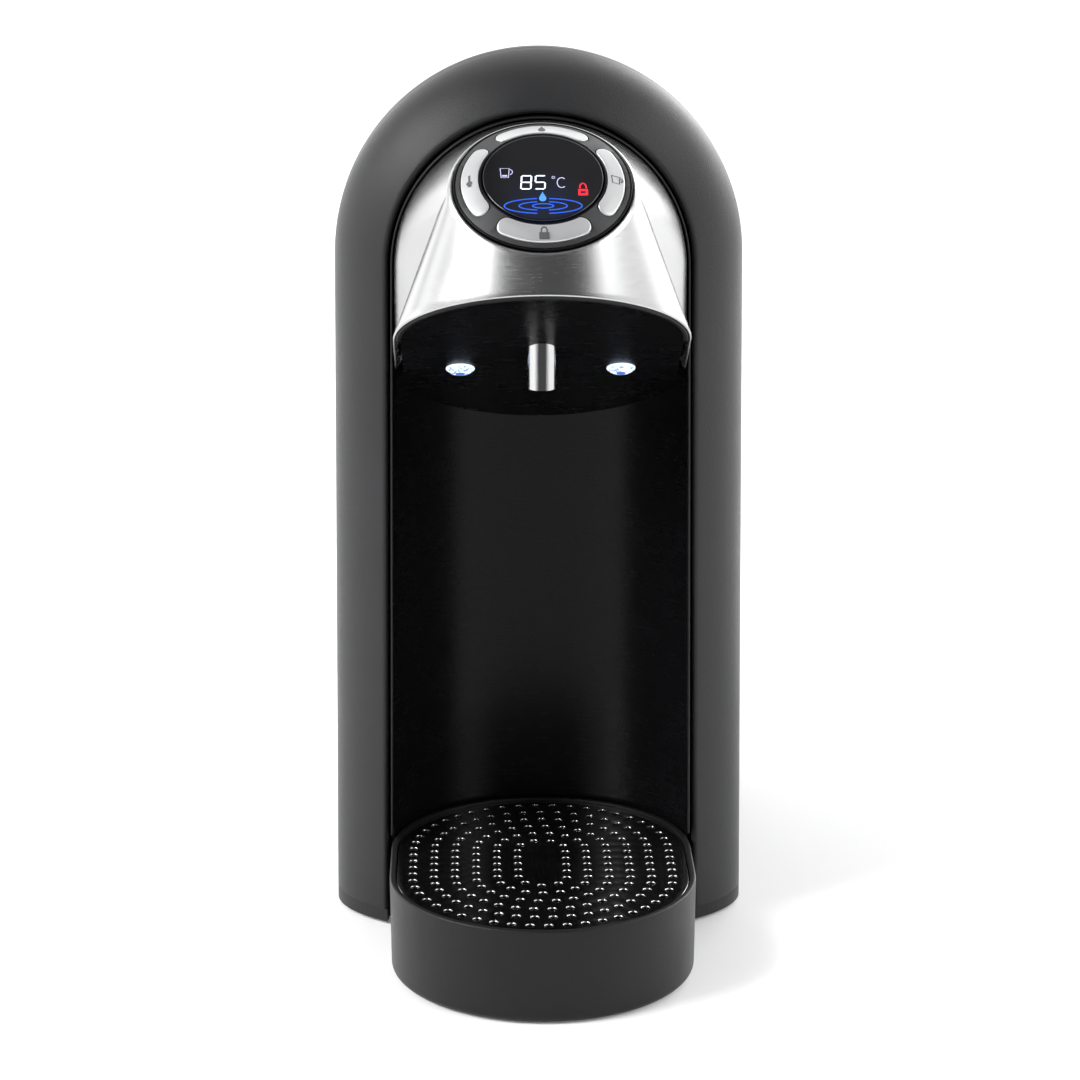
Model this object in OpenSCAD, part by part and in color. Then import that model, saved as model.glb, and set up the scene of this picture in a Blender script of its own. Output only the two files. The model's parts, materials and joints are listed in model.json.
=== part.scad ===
// Countertop hot water dispenser with a tank at the back and a drip tray at the front.
// Millimetres, +Z up. The counter is z = 0, the machine's middle plane is x = 0,
// the front is towards -Y and the origin is under the middle of the whole outline.

/* [Body] */
// Height of the arched top above the counter
body_h = 338.5; // [330:0.5:350]
// Overall depth, from the front of the drip tray to the back of the tank
body_d = 290; // [280:1:310]
// Radius of the arched top
arch_r = 77.5; // [75:0.5:80]
// Outward lean of each side wall, in degrees
splay = 0.63; // [0.4:0.01:1]
// Distance from the front of the tray to the seam between front shell and rear housing
seam_from_front = 129; // [126:1:132]
// Depth of the front shell's rounded face
face_d = 45; // [42:1:48]
// Radius of the arched opening in the front shell
opening_r = 56.5; // [56:0.1:58]
// Wall thickness of the large mouldings
wall = 2.5; // [2:0.1:3]
// Downward slope of the top towards the back, in degrees
back_slope = 7; // [6:0.5:8]
// Rounding of the rear edges
back_round = 22; // [16:1:24]

/* [Head and panel] */
// Radius of the steel head cover where it fills the arch
steel_r = 54.5; // [54:0.1:54.6]
// Tilt of the head's underside, in degrees
under_tilt = 30.5; // [28:0.5:32]
// Height of the underside above the middle of the cavity
under_z = 228.5; // [226:0.5:230]
// Tilt of the control panel, in degrees
panel_tilt = 36; // [34:0.5:38]
// Outer radius of the control panel's ring
ring_r = 32.5; // [32.2:0.1:33]
// Radius of the round display glass
lens_r = 21.5; // [21:0.1:22]
// How far the display glass stands above the ring's outer edge
lens_rise = 4.8; // [4:0.1:5]
// Travel of each button
button_travel = 0.8; // [0.4:0.1:0.8]
// Outer radius of the nozzle
nozzle_r = 5.4; // [5:0.1:6]

/* [Drip tray] */
// Radius of the tray's round ends
tray_r = 57.7; // [57:0.1:57.8]
// Distance between the middles of the tray's round ends
tray_straight = 29.4; // [28:0.2:31]
// Height of the tray's rim
tray_h = 36.5; // [35:0.5:38]
// Diameter of the grille's holes
hole_d = 3; // [2.4:0.1:3.4]
// Distance between the grille's rings of holes
hole_pitch = 8; // [7.5:0.1:8.5]

/* [Tank] */
// Height of the seam between the tank and its lid
lid_z = 286; // [280:1:290]
// Wall thickness of the tank
tank_wall = 2; // [1.8:0.1:2.4]

/* [Hidden] */
$fn = 64;

far = 400;
front_y = -body_d / 2;
back_y = body_d / 2;
arch_z = body_h - arch_r;
seam_y = front_y + seam_from_front;

// Base, cavity and tank bay
foot_h = 1.2;
base_z = 6.5;
pan_floor = 2.4;
pan_gap = 0.2;
band_gap = 0.4;
band_end_y = seam_y + 8;
band_proud = 0.6;
rear_r = arch_r - band_proud;
bay_y = 44;
deck_z = 24;
cord_x = -45;
cord_z = 14;
cavity_y = front_y + tray_r + tray_straight;
cavity_r = 59.2;
cavity_wall = 1.8;
cavity_front_y = -41.5;

// Head
bezel_r = 55.6;
bezel_t = 0.7;
bezel_d = 6.6;
head_mid_y = cavity_y - 17.2;
head_nose = 41;
head_back_y = seam_y - 32;
head_wall = 1.2;
under_t = 2.4;
rim_w = 3;
nozzle_y = cavity_y - 9.7;
nozzle_z = 219.3;
nozzle_bore_r = 4.6;
light_x = 30;
light_back = 8.4;
light_r = 5;
separator_z = 247;

// Control panel, in its own frame: z = 0 is the steel it sits on
panel_y = cavity_y - 25.7;
panel_z = 296.2;
collar_r = 33.8;
cup_r = 31.7;
cup_t = 0.9;
cup_depth = 10;
ring_edge = 0.8;
ring_t = 2;
lens_t = 1.6;
lens_gap = 0.3;
button_mid_r = 26.2;
button_w = 6.2;
button_half_angle = 38;
button_gap = 0.35;
button_proud = 0.35;
button_base = -2.6;
stem_end = -4.5;
board_t = 1.6;
board_top = -8;

// Tray and grille
tray_wall = 2.2;
tray_lift = 0.4;
tray_floor = 2.2;
grille_t = 1.2;
grille_gap = 0.4;
grille_z = tray_h - 1 - grille_t;
ledge_w = 2.4;
ring_count = 6;
hole_spacing = 6.8;
first_ring_r = tray_r - 8.5;
grille_y = cavity_y - tray_straight / 2;

// Tank and its dock
dock_y = 72;
tank_y = bay_y + 1;
tank_r = rear_r - 0.2;
tank_z = deck_z + 1;
tank_floor = 2.5;
spigot_r = 8;
spigot_wall = 1.2;
spigot_drop = 8;
socket_r = 12;
socket_bore_r = 9;
socket_z = 12;
elbow_z = 8.6;
elbow_l = 14;
valve_seat_z = tank_z + tank_floor;
valve_r = 6.5;
valve_stem_z = 17.6;
stem_r = 1.6;
guide_z = tank_z - 2.6;
lid_gap = 0.4;
hinge_y = back_y - 2;
hinge_z = lid_z + 0.2;
hinge_pin_r = 1;
barrel_r = 2;
barrel_gap = 0.3;
ear_from = 10;
ear_to = 20;
grip_half = 32;
grip_z = 236;
grip_h = 26;
grip_d = 12;

// Heater, pump and boards behind the cavity
heater_x = -48;
heater_y = 12;
heater_r = 17;
heater_z = 46;
heater_l = 160;
cap_h = 8;
pump_x = 46;
pump_y = 14;
pump_z = 26;
pump_head_r = 17;
pump_head_h = 20;
pump_motor_r = 14;
pump_motor_h = 44;
hose_r = 4;
lead_r = 2.5;
board_y = 36.4;
board_z = 104;
board_w = 52;
board_h = 96;

// The hoses and leads run through these points, held in place along their whole length
suction_path = [
    [0, dock_y - elbow_l - 0.1, elbow_z], [0, 52, elbow_z], [4, 44, elbow_z], [20, 34, elbow_z],
    [34, 24.5, elbow_z], [42.5, 17.5, 9.2], [pump_x, pump_y, 13], [pump_x, pump_y, 19.8]
];
pressure_path = [
    [22.8, 14, 36], [15, 14, 36], [6, 18, 34], [-12, 22, 28], [-30, 20, 22],
    [-42, 14.5, 20], [-47, 12.5, 23], [heater_x, heater_y, 27], [heater_x, heater_y, 31.8]
];
outlet_path = [
    [heater_x, heater_y, 220.2], [heater_x, heater_y, 228], [-47, 10, 238], [-43, 2, 250],
    [-34, -14, 260], [-22, -34, 267], [-10, -54, 272], [-3, -64, 274],
    [0, nozzle_y, 272], [0, nozzle_y, 267.2]
];
control_path = [
    [18, 32, 198.1], [18, 32, 206], [19, 30, 214], [20, 22, 236], [21, 4, 258], [21, -20, 272],
    [18, -40, 280], [14, -57, 284.4], [12, -64.7, 290.6], [12, -68.1, 295.3]
];
mains_path = [
    [cord_x, 139.8, cord_z], [cord_x, 130, 13], [cord_x, 112, 11], [-42, 84, 11], [-34, 60, 11],
    [-24, 42, 12], [-19, 34, 18], [-18, 32, 30], [-18, 32, 60], [-18, 32, 90], [-18, 32, 103.8]
];
heater_path = [
    [-14, 31, 198.1], [-14, 31, 204], [-15, 30, 209], [-20, 27, 216], [-28, 25, 222], [-36, 23.5, 222],
    [-40, 22.5, 219], [-41, 22, 214.3]
];

// Helpers: outlines

function half_width(r, drop) = r / cos(splay) + drop * tan(splay);
function reversed(list) = [for (i = [len(list) - 1:-1:0]) list[i]];
function arc(r, from, to, steps) =
    [for (i = [0:steps]) let (t = from + (to - from) * i / steps) [r * cos(t), r * sin(t)]];
function moved(points, by) = [for (p = points) p + by];

// A quarter ellipse drawn as radius by distance forward, as far in as edge_r
function face_curve(a, b, edge_r, steps = 16) =
    let (end = acos(edge_r / a)) [for (i = [0:steps]) let (t = end * i / steps) [a * cos(t), b * sin(t)]];

// The tombstone outline of the body, standing in X and Y, with the arch's middle at 0, 0
module tombstone(r) {
    circle(r);
    polygon([
        [-r * cos(splay), r * sin(splay)], [r * cos(splay), r * sin(splay)],
        [half_width(r, arch_z), -arch_z], [-half_width(r, arch_z), -arch_z]
    ]);
}

module stadium(r) {
    for (end = [-1, 1]) translate([0, end * tray_straight / 2]) circle(r);
    square([2 * r, tray_straight], center = true);
}

// Plan of the head: an elliptical nose, straight sides and a round back inside the cavity
function head_plan(inset = 0, steps = 36) = concat(
    [for (i = [0:steps]) let (t = 180 + 180 * i / steps)
        [(steel_r - inset) * cos(t), head_mid_y + (head_nose - inset) * sin(t)]],
    [[steel_r - inset, cavity_front_y]],
    let (r = cavity_r - 0.4, start = asin((cavity_front_y - cavity_y) / r) + 2)
        moved(arc(r, start, 180 - start, steps), [0, cavity_y]),
    [[inset - steel_r, cavity_front_y]]
);

// A round slot that follows a circle, for the buttons and their windows
module arc_slot(mid_r, w, half_angle) {
    tip = half_angle - asin(w / 2 / mid_r);
    polygon(concat(
        arc(mid_r + w / 2, -tip, tip, 20),
        slot_end(mid_r, w / 2, tip, tip),
        arc(mid_r - w / 2, tip, -tip, 20),
        slot_end(mid_r, w / 2, -tip, 180 - tip)
    ));
}

// The points of a slot's round end, without the two that the slot's sides hold
function slot_end(mid_r, r, at, from, steps = 12) =
    [for (i = [1:steps - 1]) let (t = from + 180 * i / steps)
        [mid_r * cos(at) + r * cos(t), mid_r * sin(at) + r * sin(t)]];

// Helpers: solids

module above(z) {
    translate([-far / 2, -far / 2, z]) cube(far);
}

module slab(y_from, y_to, z_from, z_to, half = far / 2) {
    translate([-half, y_from, z_from]) cube([2 * half, y_to - y_from, z_to - z_from]);
}

// Carries a section, drawn as radius by distance forward of y, round the arch and down both sides
module along_arch(y, foot_z) {
    intersection() {
        translate([0, y, arch_z]) {
            rotate([90, 0, 0]) rotate([0, 0, splay]) rotate_extrude(angle = 180 - 2 * splay) children();
            for (side = [0, 1]) {
                mirror([side, 0, 0]) rotate([0, -splay, 0]) rotate([180, 0, 0])
                    linear_extrude(arch_z + 5) children();
            }
        }
        above(foot_z);
    }
}

// Carries a half section, drawn as radius by height, round a stadium
module stadium_solid() {
    for (turn = [0, 180]) {
        rotate([0, 0, turn]) translate([0, tray_straight / 2, 0]) rotate_extrude(angle = 180) children();
    }
    for (side = [0, 1]) {
        mirror([side, 0, 0]) translate([0, tray_straight / 2, 0]) rotate([90, 0, 0])
            linear_extrude(tray_straight) children();
    }
}

// The rear of the body: the tombstone runs back and down, and its back edge is rounded
module rear_block(y_from, r, y_to, edge) {
    steps = 4;
    hull() {
        back_slice(y_from, r);
        for (i = [0:steps]) {
            t = 90 * i / steps;
            back_slice(y_to - edge * (1 - sin(t)), r - edge * (1 - cos(t)));
        }
    }
}

module back_slice(y, r) {
    drop = (y - band_end_y) * tan(back_slope);
    intersection() {
        translate([0, y, arch_z - drop]) rotate([90, 0, 0]) linear_extrude(0.01) tombstone(r);
        above(0);
    }
}

// A tube swept along points, with flat ends
function unit(v) = v / norm(v);
function along(path, i) = unit(path[min(i + 1, len(path) - 1)] - path[max(i - 1, 0)]);
function carried(normal, direction) = unit(normal - direction * (normal * direction));
function normals(path, first, i = 0) =
    i >= len(path) ? []
    : let (n = carried(first, along(path, i))) concat([n], normals(path, n, i + 1));

// Rounds a route of hand-placed points by cutting its corners twice
function cut_corners(path) = concat(
    [path[0]],
    [for (i = [0:len(path) - 2]) each [
        path[i] * 0.75 + path[i + 1] * 0.25, path[i] * 0.25 + path[i + 1] * 0.75]],
    [path[len(path) - 1]]
);

module swept_tube(path, r, sides = 8, side_way = [1, 0.05, 0.03]) {
    up = normals(path, side_way);
    points = [for (i = [0:len(path) - 1]) for (j = [0:sides - 1])
        let (t = 360 * j / sides, across = cross(along(path, i), up[i]))
            path[i] + r * (cos(t) * up[i] + sin(t) * across)];
    last = (len(path) - 1) * sides;
    faces = concat(
        [[for (j = [sides - 1:-1:0]) j]],
        [for (i = [0:len(path) - 2]) for (j = [0:sides - 1])
            let (k = (j + 1) % sides)
                [i * sides + j, i * sides + k, (i + 1) * sides + k, (i + 1) * sides + j]],
        [[for (j = [0:sides - 1]) last + j]]
    );
    polyhedron(points, [for (f = faces) reversed(f)]);
}

module hose(path, r = hose_r) {
    swept_tube(cut_corners(path), r);
}

// Frames: the head's underside and the control panel

module on_underside() {
    translate([0, cavity_y, under_z]) rotate([-under_tilt, 0, 0]) children();
}

module on_panel() {
    translate([0, panel_y, panel_z]) rotate([panel_tilt, 0, 0]) children();
}

// The space between two planes that run parallel to the underside
module under_slab(from, to) {
    on_underside() translate([-far / 4, -far / 2, from]) cube([far / 2, far, to - from]);
}

// Everything under the panel's conical surface, raised by rise, down to z = bottom
module under_cone(rise, bottom) {
    slope = (lens_rise - ring_edge) / (ring_r - lens_r);
    rotate_extrude() polygon([
        [0, bottom], [ring_r, bottom],
        [ring_r, ring_edge + rise], [0, ring_edge + rise + slope * ring_r]
    ]);
}

// Body

module front_shell() {
    color("#3f4144") along_arch(seam_y, base_z) polygon(concat(
        face_curve(arch_r, face_d, opening_r),
        reversed(face_curve(arch_r - wall, face_d - wall, opening_r))
    ));
}

module main_housing() {
    color("#3f4144") difference() {
        union() {
            band_section();
            difference() {
                rear_volume(rear_r, back_y, back_round, bay_y, deck_z, base_z);
                rear_volume(
                    rear_r - wall, back_y - wall, back_round - wall, bay_y - wall, deck_z - wall, 0, 1);
            }
            screw_bosses();
        }
        translate([0, dock_y, deck_z - wall - 1]) cylinder(r = socket_r + 0.1, h = wall + 2);
        cord_hole(6.2);
        tank_switch_place() translate([0, 0, -3]) cylinder(r = 4.1, h = 6);
        for (p = boss_places()) translate([p[0], p[1], base_z - 1]) cylinder(r = 1.5, h = 10);
    }
}

// The proud band that follows the seam, with a spigot that locates the front shell
module band_section() {
    depth = band_end_y - seam_y - band_gap;
    along_arch(band_end_y, base_z) polygon([
        [arch_r, 0], [arch_r, depth], [arch_r - 3.2, depth], [arch_r - 3.2, depth + 4],
        [arch_r - 4.7, depth + 4], [arch_r - 4.7, 0]
    ]);
}

module rear_volume(r, y_to, edge, upper_y, lower_z, foot_z, overlap = 0) {
    intersection() {
        rear_block(band_end_y - overlap, r, y_to, edge);
        union() {
            slab(band_end_y - overlap, upper_y, foot_z, far);
            slab(band_end_y - overlap, far, foot_z, lower_z);
        }
    }
}

function boss_places() = [
    for (side = [-1, 1]) each [[side * 74.2, 2], [side * 74.2, 66], [side * 28, back_y - wall - 3]]
];

module screw_bosses() {
    for (p = boss_places()) translate([p[0], p[1], base_z]) cylinder(r = 3.6, h = 12);
}

module cavity_liner() {
    color("#141517") difference() {
        intersection() {
            translate([0, cavity_y, 1.6]) cylinder(r = cavity_r + cavity_wall, h = 260);
            slab(cavity_front_y, far / 4, 0, far);
            under_slab(-far, 9);
        }
        translate([0, cavity_y, 0]) cylinder(r = cavity_r, h = 300);
    }
}

module cavity_bezel() {
    color("#1b1c1e") along_arch(cavity_front_y - 0.2, tray_h + 1.5) polygon([
        [bezel_r, 0], [bezel_r, bezel_d], [bezel_r - bezel_t, bezel_d], [bezel_r - bezel_t, 0]
    ]);
}

// Plan of the base: the columns' rounded fronts, straight sides and rounded back corners
module base_plan(inset) {
    w = half_width(arch_r, arch_z - base_z) - inset;
    d = face_d - inset;
    corner = back_round - inset;
    front = moved(face_curve(w, -d, opening_r + 2.8), [0, seam_y]);
    back = moved(arc(corner, 0, 90, 10), [w - corner, back_y - inset - corner]);
    right = concat(reversed(front), back);
    difference() {
        polygon(concat(right, [for (p = reversed(right)) [-p[0], p[1]]]));
        translate([0, cavity_y]) circle(cavity_r + cavity_wall + inset + 0.2);
        translate([0, cavity_y - 60]) square([2 * (opening_r + 2.8 + inset), 155], center = true);
    }
}

module base_pan() {
    color("#2b2c2e") difference() {
        translate([0, 0, foot_h]) linear_extrude(base_z - pan_gap - foot_h) base_plan(0);
        translate([0, 0, foot_h + pan_floor]) linear_extrude(base_z) base_plan(wall);
        for (p = foot_places()) translate([p[0], p[1], 0]) cylinder(r = 7, h = foot_h + 1);
        for (p = boss_places()) translate([p[0], p[1], 0]) {
            cylinder(r = 1.7, h = 10);
            cylinder(r = 3.1, h = foot_h + 1.3);
        }
        for (x = [-30:6:30]) translate([x - 1.2, 84, 0]) cube([2.4, 30, 10]);
    }
}

function foot_places() = [
    for (side = [-1, 1]) each [[side * 69.5, seam_y - 6], [side * 58, back_y - 24]]
];

module rubber_feet() {
    color("#18191a") for (p = foot_places()) translate([p[0], p[1], 0]) {
        cylinder(r = 6.9, h = foot_h + 0.9);
    }
}

module base_screws() {
    color("silver") for (p = boss_places()) translate([p[0], p[1], foot_h + 0.2]) difference() {
        union() {
            cylinder(r = 2.9, h = 1);
            cylinder(r = 1.4, h = 13);
        }
        translate([-2, -0.4, -1]) cube([4, 0.8, 1.5]);
        translate([-0.4, -2, -1]) cube([0.8, 4, 1.5]);
    }
}

module cord_hole(r) {
    translate([cord_x, back_y + 1, cord_z]) rotate([90, 0, 0]) cylinder(r = r, h = 12);
}

// A flanged bush for the mains cord, set in the back of the platform
module cord_inlet() {
    color("#18191a") translate([cord_x, back_y - 4.2, cord_z]) rotate([-90, 0, 0]) difference() {
        union() {
            cylinder(r = 6.1, h = 4);
            cylinder(r = 7.2, h = 1.5);
        }
        translate([0, 0, -1]) cylinder(r = 3.4, h = 8);
    }
}

// Head

module head_volume(inset) {
    hull() {
        translate([0, head_back_y, arch_z]) rotate([90, 0, 0]) linear_extrude(0.6) {
            circle(steel_r - inset);
            translate([inset - steel_r, under_z - 8 - arch_z]) square([2 * (steel_r - inset), 10]);
        }
        intersection() {
            linear_extrude(far) polygon([for (p = head_plan(inset)) if (p[1] <= head_back_y) p]);
            under_slab(0, 0.6);
        }
        on_panel() translate([0, 0, -0.6 - inset]) cylinder(r = collar_r - inset, h = 0.6);
    }
}

module head_cover() {
    color("silver") difference() {
        head_volume(0);
        difference() {
            head_volume(head_wall);
            slab(-far, far, 0, 10);
        }
        under_slab(-far, 0.2);
        slab(head_back_y - 1.2, far / 2, 0, far, steel_r - head_wall);
        underside_outline(head_wall) under_slab(-1, under_t + 0.2);
        on_panel() translate([0, 0, -20]) cylinder(r = cup_r + 0.2, h = 40);
        on_panel() translate([0, 0, 0.02]) cylinder(r = ring_r + 0.15, h = 20);
    }
}

module underside_outline(inset) {
    intersection() {
        linear_extrude(far) polygon(head_plan(inset));
        children();
    }
}

module underside_panel() {
    color("#101113") difference() {
        underside_outline(rim_w) under_slab(-0.2, under_t);
        translate([0, nozzle_y, under_z - 10]) cylinder(r = nozzle_r + 0.1, h = 40);
        light_places() translate([0, 0, -5]) cylinder(r = light_r + 0.1, h = 12);
    }
}

module underside_rim() {
    color("#3a3b3d") difference() {
        underside_outline(head_wall + 0.2) under_slab(-0.8, under_t);
        underside_outline(rim_w - 0.1) under_slab(-5, 10);
        slab(cavity_front_y - 0.2, far / 4, 0, far);
    }
}

module light_places() {
    for (side = [-1, 1]) on_underside() translate([side * light_x, light_back / cos(under_tilt), 0]) children();
}

module light_lenses() {
    color("#dfe9ff") light_places() {
        translate([0, 0, -1]) cylinder(r = light_r, h = 3.4);
        translate([0, 0, under_t + 0.1]) cylinder(r = light_r + 1, h = 1);
    }
}

module light_boards() {
    color("darkgreen") light_places() translate([-7, -6, under_t + 4]) cube([14, 12, 1.2]);
    color("white") light_places() translate([-1.5, -1.5, under_t + 2.4]) cube([3, 3, 1.6]);
}

module nozzle_sleeve() {
    color("silver") translate([0, nozzle_y, nozzle_z]) difference() {
        union() {
            cylinder(r = nozzle_r, h = 24.5);
            translate([0, 0, 22.9]) cylinder(r = nozzle_r + 2, h = 1.6);
        }
        translate([0, 0, -1]) cylinder(r = nozzle_bore_r, h = 30);
    }
}

module spout_tube() {
    color("#d9d9d4") translate([0, nozzle_y, nozzle_z + 1.5]) difference() {
        cylinder(r = nozzle_bore_r - 0.2, h = separator_z - nozzle_z - 1.7);
        translate([0, 0, -1]) cylinder(r = 2.8, h = 40);
    }
}

// Control panel

module control_ring() {
    color("#55575a") on_panel() difference() {
        rotate_extrude() polygon([
            [ring_r, 0.03], [ring_r, ring_edge], [lens_r + lens_gap, lens_rise],
            [lens_r + lens_gap, lens_rise - lens_t], [lens_r - 1.2, lens_rise - lens_t],
            [lens_r - 1.2, lens_rise - lens_t - 1], [cup_r - cup_t, ring_edge - ring_t],
            [cup_r - cup_t, -cup_depth], [cup_r, -cup_depth], [cup_r, 0.03]
        ]);
        for (turn = [0:90:270]) rotate([0, 0, turn]) translate([0, 0, -2]) linear_extrude(12)
            arc_slot(button_mid_r, button_w + 2 * button_gap, button_half_angle + 0.8);
    }
}

module display_lens() {
    color("#050608") on_panel() translate([0, 0, lens_rise - lens_t + 0.1]) cylinder(r = lens_r, h = lens_t);
}

module display_module() {
    color("#20242a") on_panel() translate([-15, -12, -1.8]) cube([30, 24, 4]);
}

module control_board() {
    color("darkgreen") on_panel() translate([0, 0, board_top - board_t]) {
        cylinder(r = cup_r - cup_t - 0.3, h = board_t);
        translate([0, 0, board_t]) linear_extrude(board_top * -1 - 1.9) {
            for (x = [-12, 12]) translate([x, 0]) square([2, 14], center = true);
        }
    }
}

module panel_switches() {
    color("#202020") on_panel() for (turn = [0:90:270]) rotate([0, 0, turn]) {
        translate([button_mid_r - 3, -3, board_top]) cube([6, 6, stem_end - button_travel - 0.3 - board_top]);
    }
}

// One arc-shaped key, turned to its place on the ring
module arc_button(turn) {
    color("#c9cbcd") on_panel() rotate([0, 0, turn]) {
        intersection() {
            translate([0, 0, button_base]) linear_extrude(20)
                arc_slot(button_mid_r, button_w, button_half_angle);
            under_cone(button_proud, button_base);
        }
        translate([button_mid_r, 0, stem_end]) cylinder(r = 2, h = button_base - stem_end);
    }
}

module button_dispense() {
    arc_button(90);
}

module button_temperature() {
    arc_button(180);
}

module button_volume() {
    arc_button(0);
}

module button_lock() {
    arc_button(270);
}

// Drip tray

module drip_tray() {
    inner = tray_r - tray_wall;
    color("#2b2c2e") translate([0, grille_y, 0]) {
        difference() {
            stadium_solid() polygon([
                [0, tray_lift], [tray_r - 2.4, tray_lift], [tray_r - 1.3, tray_lift + 0.4],
                [tray_r - 0.6, tray_lift + 1.4], [tray_r - 0.4, tray_lift + 3],
                [tray_r, tray_h - 0.5], [tray_r - 0.5, tray_h], [0, tray_h]
            ]);
            translate([0, 0, tray_lift + tray_floor]) linear_extrude(tray_h) stadium(inner);
        }
        tray_ledge(inner);
    }
}

// A ledge round the wall carries the grille
module tray_ledge(inner) {
    translate([0, 0, grille_z - 3]) linear_extrude(2.8) difference() {
        stadium(inner + 0.5);
        stadium(inner - ledge_w);
    }
}

// Places holes along one stadium ring, evenly spaced by length
module ring_of_holes(r) {
    arc_l = PI * r;
    whole = 2 * arc_l + 2 * tray_straight;
    count = round(whole / hole_spacing);
    for (i = [0:count - 1]) {
        s = whole * (i + 0.5) / count;
        q = s % (arc_l + tray_straight);
        half = s >= arc_l + tray_straight ? 180 : 0;
        rotate(half) {
            if (q < arc_l) {
                t = 180 * q / arc_l;
                translate([r * cos(t), tray_straight / 2 + r * sin(t)]) circle(d = hole_d);
            } else {
                translate([-r, tray_straight / 2 - (q - arc_l)]) circle(d = hole_d);
            }
        }
    }
}

module drip_grille() {
    color("#d8dadc") translate([0, grille_y, grille_z]) linear_extrude(grille_t) difference() {
        stadium(tray_r - tray_wall - grille_gap);
        for (i = [0:ring_count - 1]) ring_of_holes(first_ring_r - i * hole_pitch);
    }
}

// Water path

module heater_tube() {
    color("silver") translate([heater_x, heater_y, heater_z]) difference() {
        cylinder(r = heater_r, h = heater_l);
        translate([0, 0, -1]) cylinder(r = heater_r - 3, h = heater_l + 2);
    }
}

module heater_caps() {
    color("#8c8f94") translate([heater_x, heater_y, heater_z]) {
        heater_cap();
        translate([0, 0, heater_l]) mirror([0, 0, 1]) heater_cap();
    }
}

module heater_cap() {
    difference() {
        union() {
            translate([0, 0, -cap_h]) cylinder(r = heater_r + 1, h = cap_h - 0.1);
            translate([0, 0, -cap_h - 6]) cylinder(r = hose_r, h = 7);
        }
        translate([0, 0, -cap_h - 7]) cylinder(r = 2, h = cap_h + 8);
    }
}

module heater_bracket() {
    color("#b9bcc0") for (z = [heater_z + 22, heater_z + heater_l - 30]) {
        translate([heater_x, heater_y, z]) difference() {
            union() {
                cylinder(r = heater_r + 1.4, h = 10);
                translate([-6, heater_r, 0]) cube([12, bay_y - wall - heater_y - heater_r - 0.1, 10]);
            }
            translate([0, 0, -1]) cylinder(r = heater_r + 0.1, h = 12);
        }
    }
}

module thermal_fuse() {
    color("white") translate([heater_x - 8, heater_y - heater_r - 2.2, 140]) cylinder(r = 2.6, h = 20);
}

module outlet_sensor() {
    color("#c8a24a") translate([heater_x + 9, heater_y + 2, heater_z + heater_l + cap_h + 0.1]) {
        cylinder(r = 3, h = 7, $fn = 6);
    }
}

module steam_separator() {
    color("#d9d9d4") translate([0, nozzle_y, separator_z]) difference() {
        union() {
            cylinder(r = 12, h = 14);
            cylinder(r = hose_r, h = 20);
        }
        translate([0, 0, 2]) cylinder(r = 10, h = 10);
        translate([0, 0, -1]) cylinder(r = 2.8, h = 40);
    }
}

module pump_head() {
    color("#2f3236") translate([pump_x, pump_y, pump_z]) difference() {
        union() {
            cylinder(r = pump_head_r, h = pump_head_h);
            translate([0, 0, -6]) cylinder(r = hose_r, h = 7);
            translate([0, 0, 10]) rotate([0, -90, 0]) cylinder(r = hose_r, h = pump_head_r + 6);
        }
        translate([0, 0, 3]) cylinder(r = 13, h = 12);
        translate([0, 0, -7]) cylinder(r = 2, h = 12);
        translate([0, 0, 10]) rotate([0, -90, 0]) cylinder(r = 2, h = 40);
        translate([0, 0, 10]) cylinder(r = 2.05, h = 20);
    }
}

module pump_motor() {
    color("#9a9da1") translate([pump_x, pump_y, pump_z + pump_head_h + 0.1]) difference() {
        cylinder(r = pump_motor_r, h = pump_motor_h);
        translate([0, 0, -1]) cylinder(r = 2.3, h = 12);
    }
}

// The impeller turns on a shaft that runs up into the motor
module pump_rotor() {
    color("#e4e4de") translate([pump_x, pump_y, pump_z]) {
        translate([0, 0, 4]) cylinder(r = 6, h = 8);
        for (turn = [0:60:300]) rotate([0, 0, turn]) translate([5, -0.8, 4]) cube([7, 1.6, 8]);
        translate([0, 0, 11]) cylinder(r = 2, h = 18);
    }
}

// Four soft posts carry the pump on the base pan
module pump_cradle() {
    floor_z = foot_h + pan_floor + 0.1;
    color("#202123") for (turn = [0:90:270]) {
        translate([pump_x, pump_y, floor_z]) rotate([0, 0, turn]) translate([13, 0, 0])
            cylinder(r = 3, h = pump_z - floor_z - 0.1);
    }
}

module suction_hose() {
    color("#e8e6df") hose(suction_path);
}

module pressure_hose() {
    color("#e8e6df") hose(pressure_path);
}

module outlet_hose() {
    color("#e8e6df") hose(outlet_path);
}

// Electrics

module power_board() {
    color("darkgreen") translate([-board_w / 2, board_y, board_z]) cube([board_w, board_t, board_h]);
}

module power_components() {
    color("#303236") {
        component(-24, board_z, [14, 12, 7]);
        component(-20, 114, [18, 15, 14]);
        component(4, 110, [16, 13, 20]);
        component(-18, 146, [22, 10, 8]);
        component(6, 150, [14, 12, 26]);
        for (x = [-20, 12]) component(x, 190, [12, 9, 8]);
    }
    color("#24406e") translate([-8, board_y - 0.1, 178]) rotate([90, 0, 0]) cylinder(r = 6, h = 15);
}

module component(x, z, size) {
    translate([x, board_y - 0.1 - size[1], z]) cube(size);
}

module board_standoffs() {
    color("#e8e6df") for (x = [-21, 21]) for (z = [board_z + 6, board_z + board_h - 6]) {
        translate([x, board_y + board_t + 0.1, z]) rotate([-90, 0, 0]) {
            cylinder(r = 3, h = bay_y - wall - board_y - board_t - 0.2);
        }
    }
}

module control_lead() {
    color("#a33b32") hose(control_path, lead_r);
}

module mains_lead() {
    color("#1b1c1e") hose(mains_path, lead_r + 0.5);
}

module heater_lead() {
    color("#c9b037") hose(heater_path, 1.6);
}

// Dock

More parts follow.
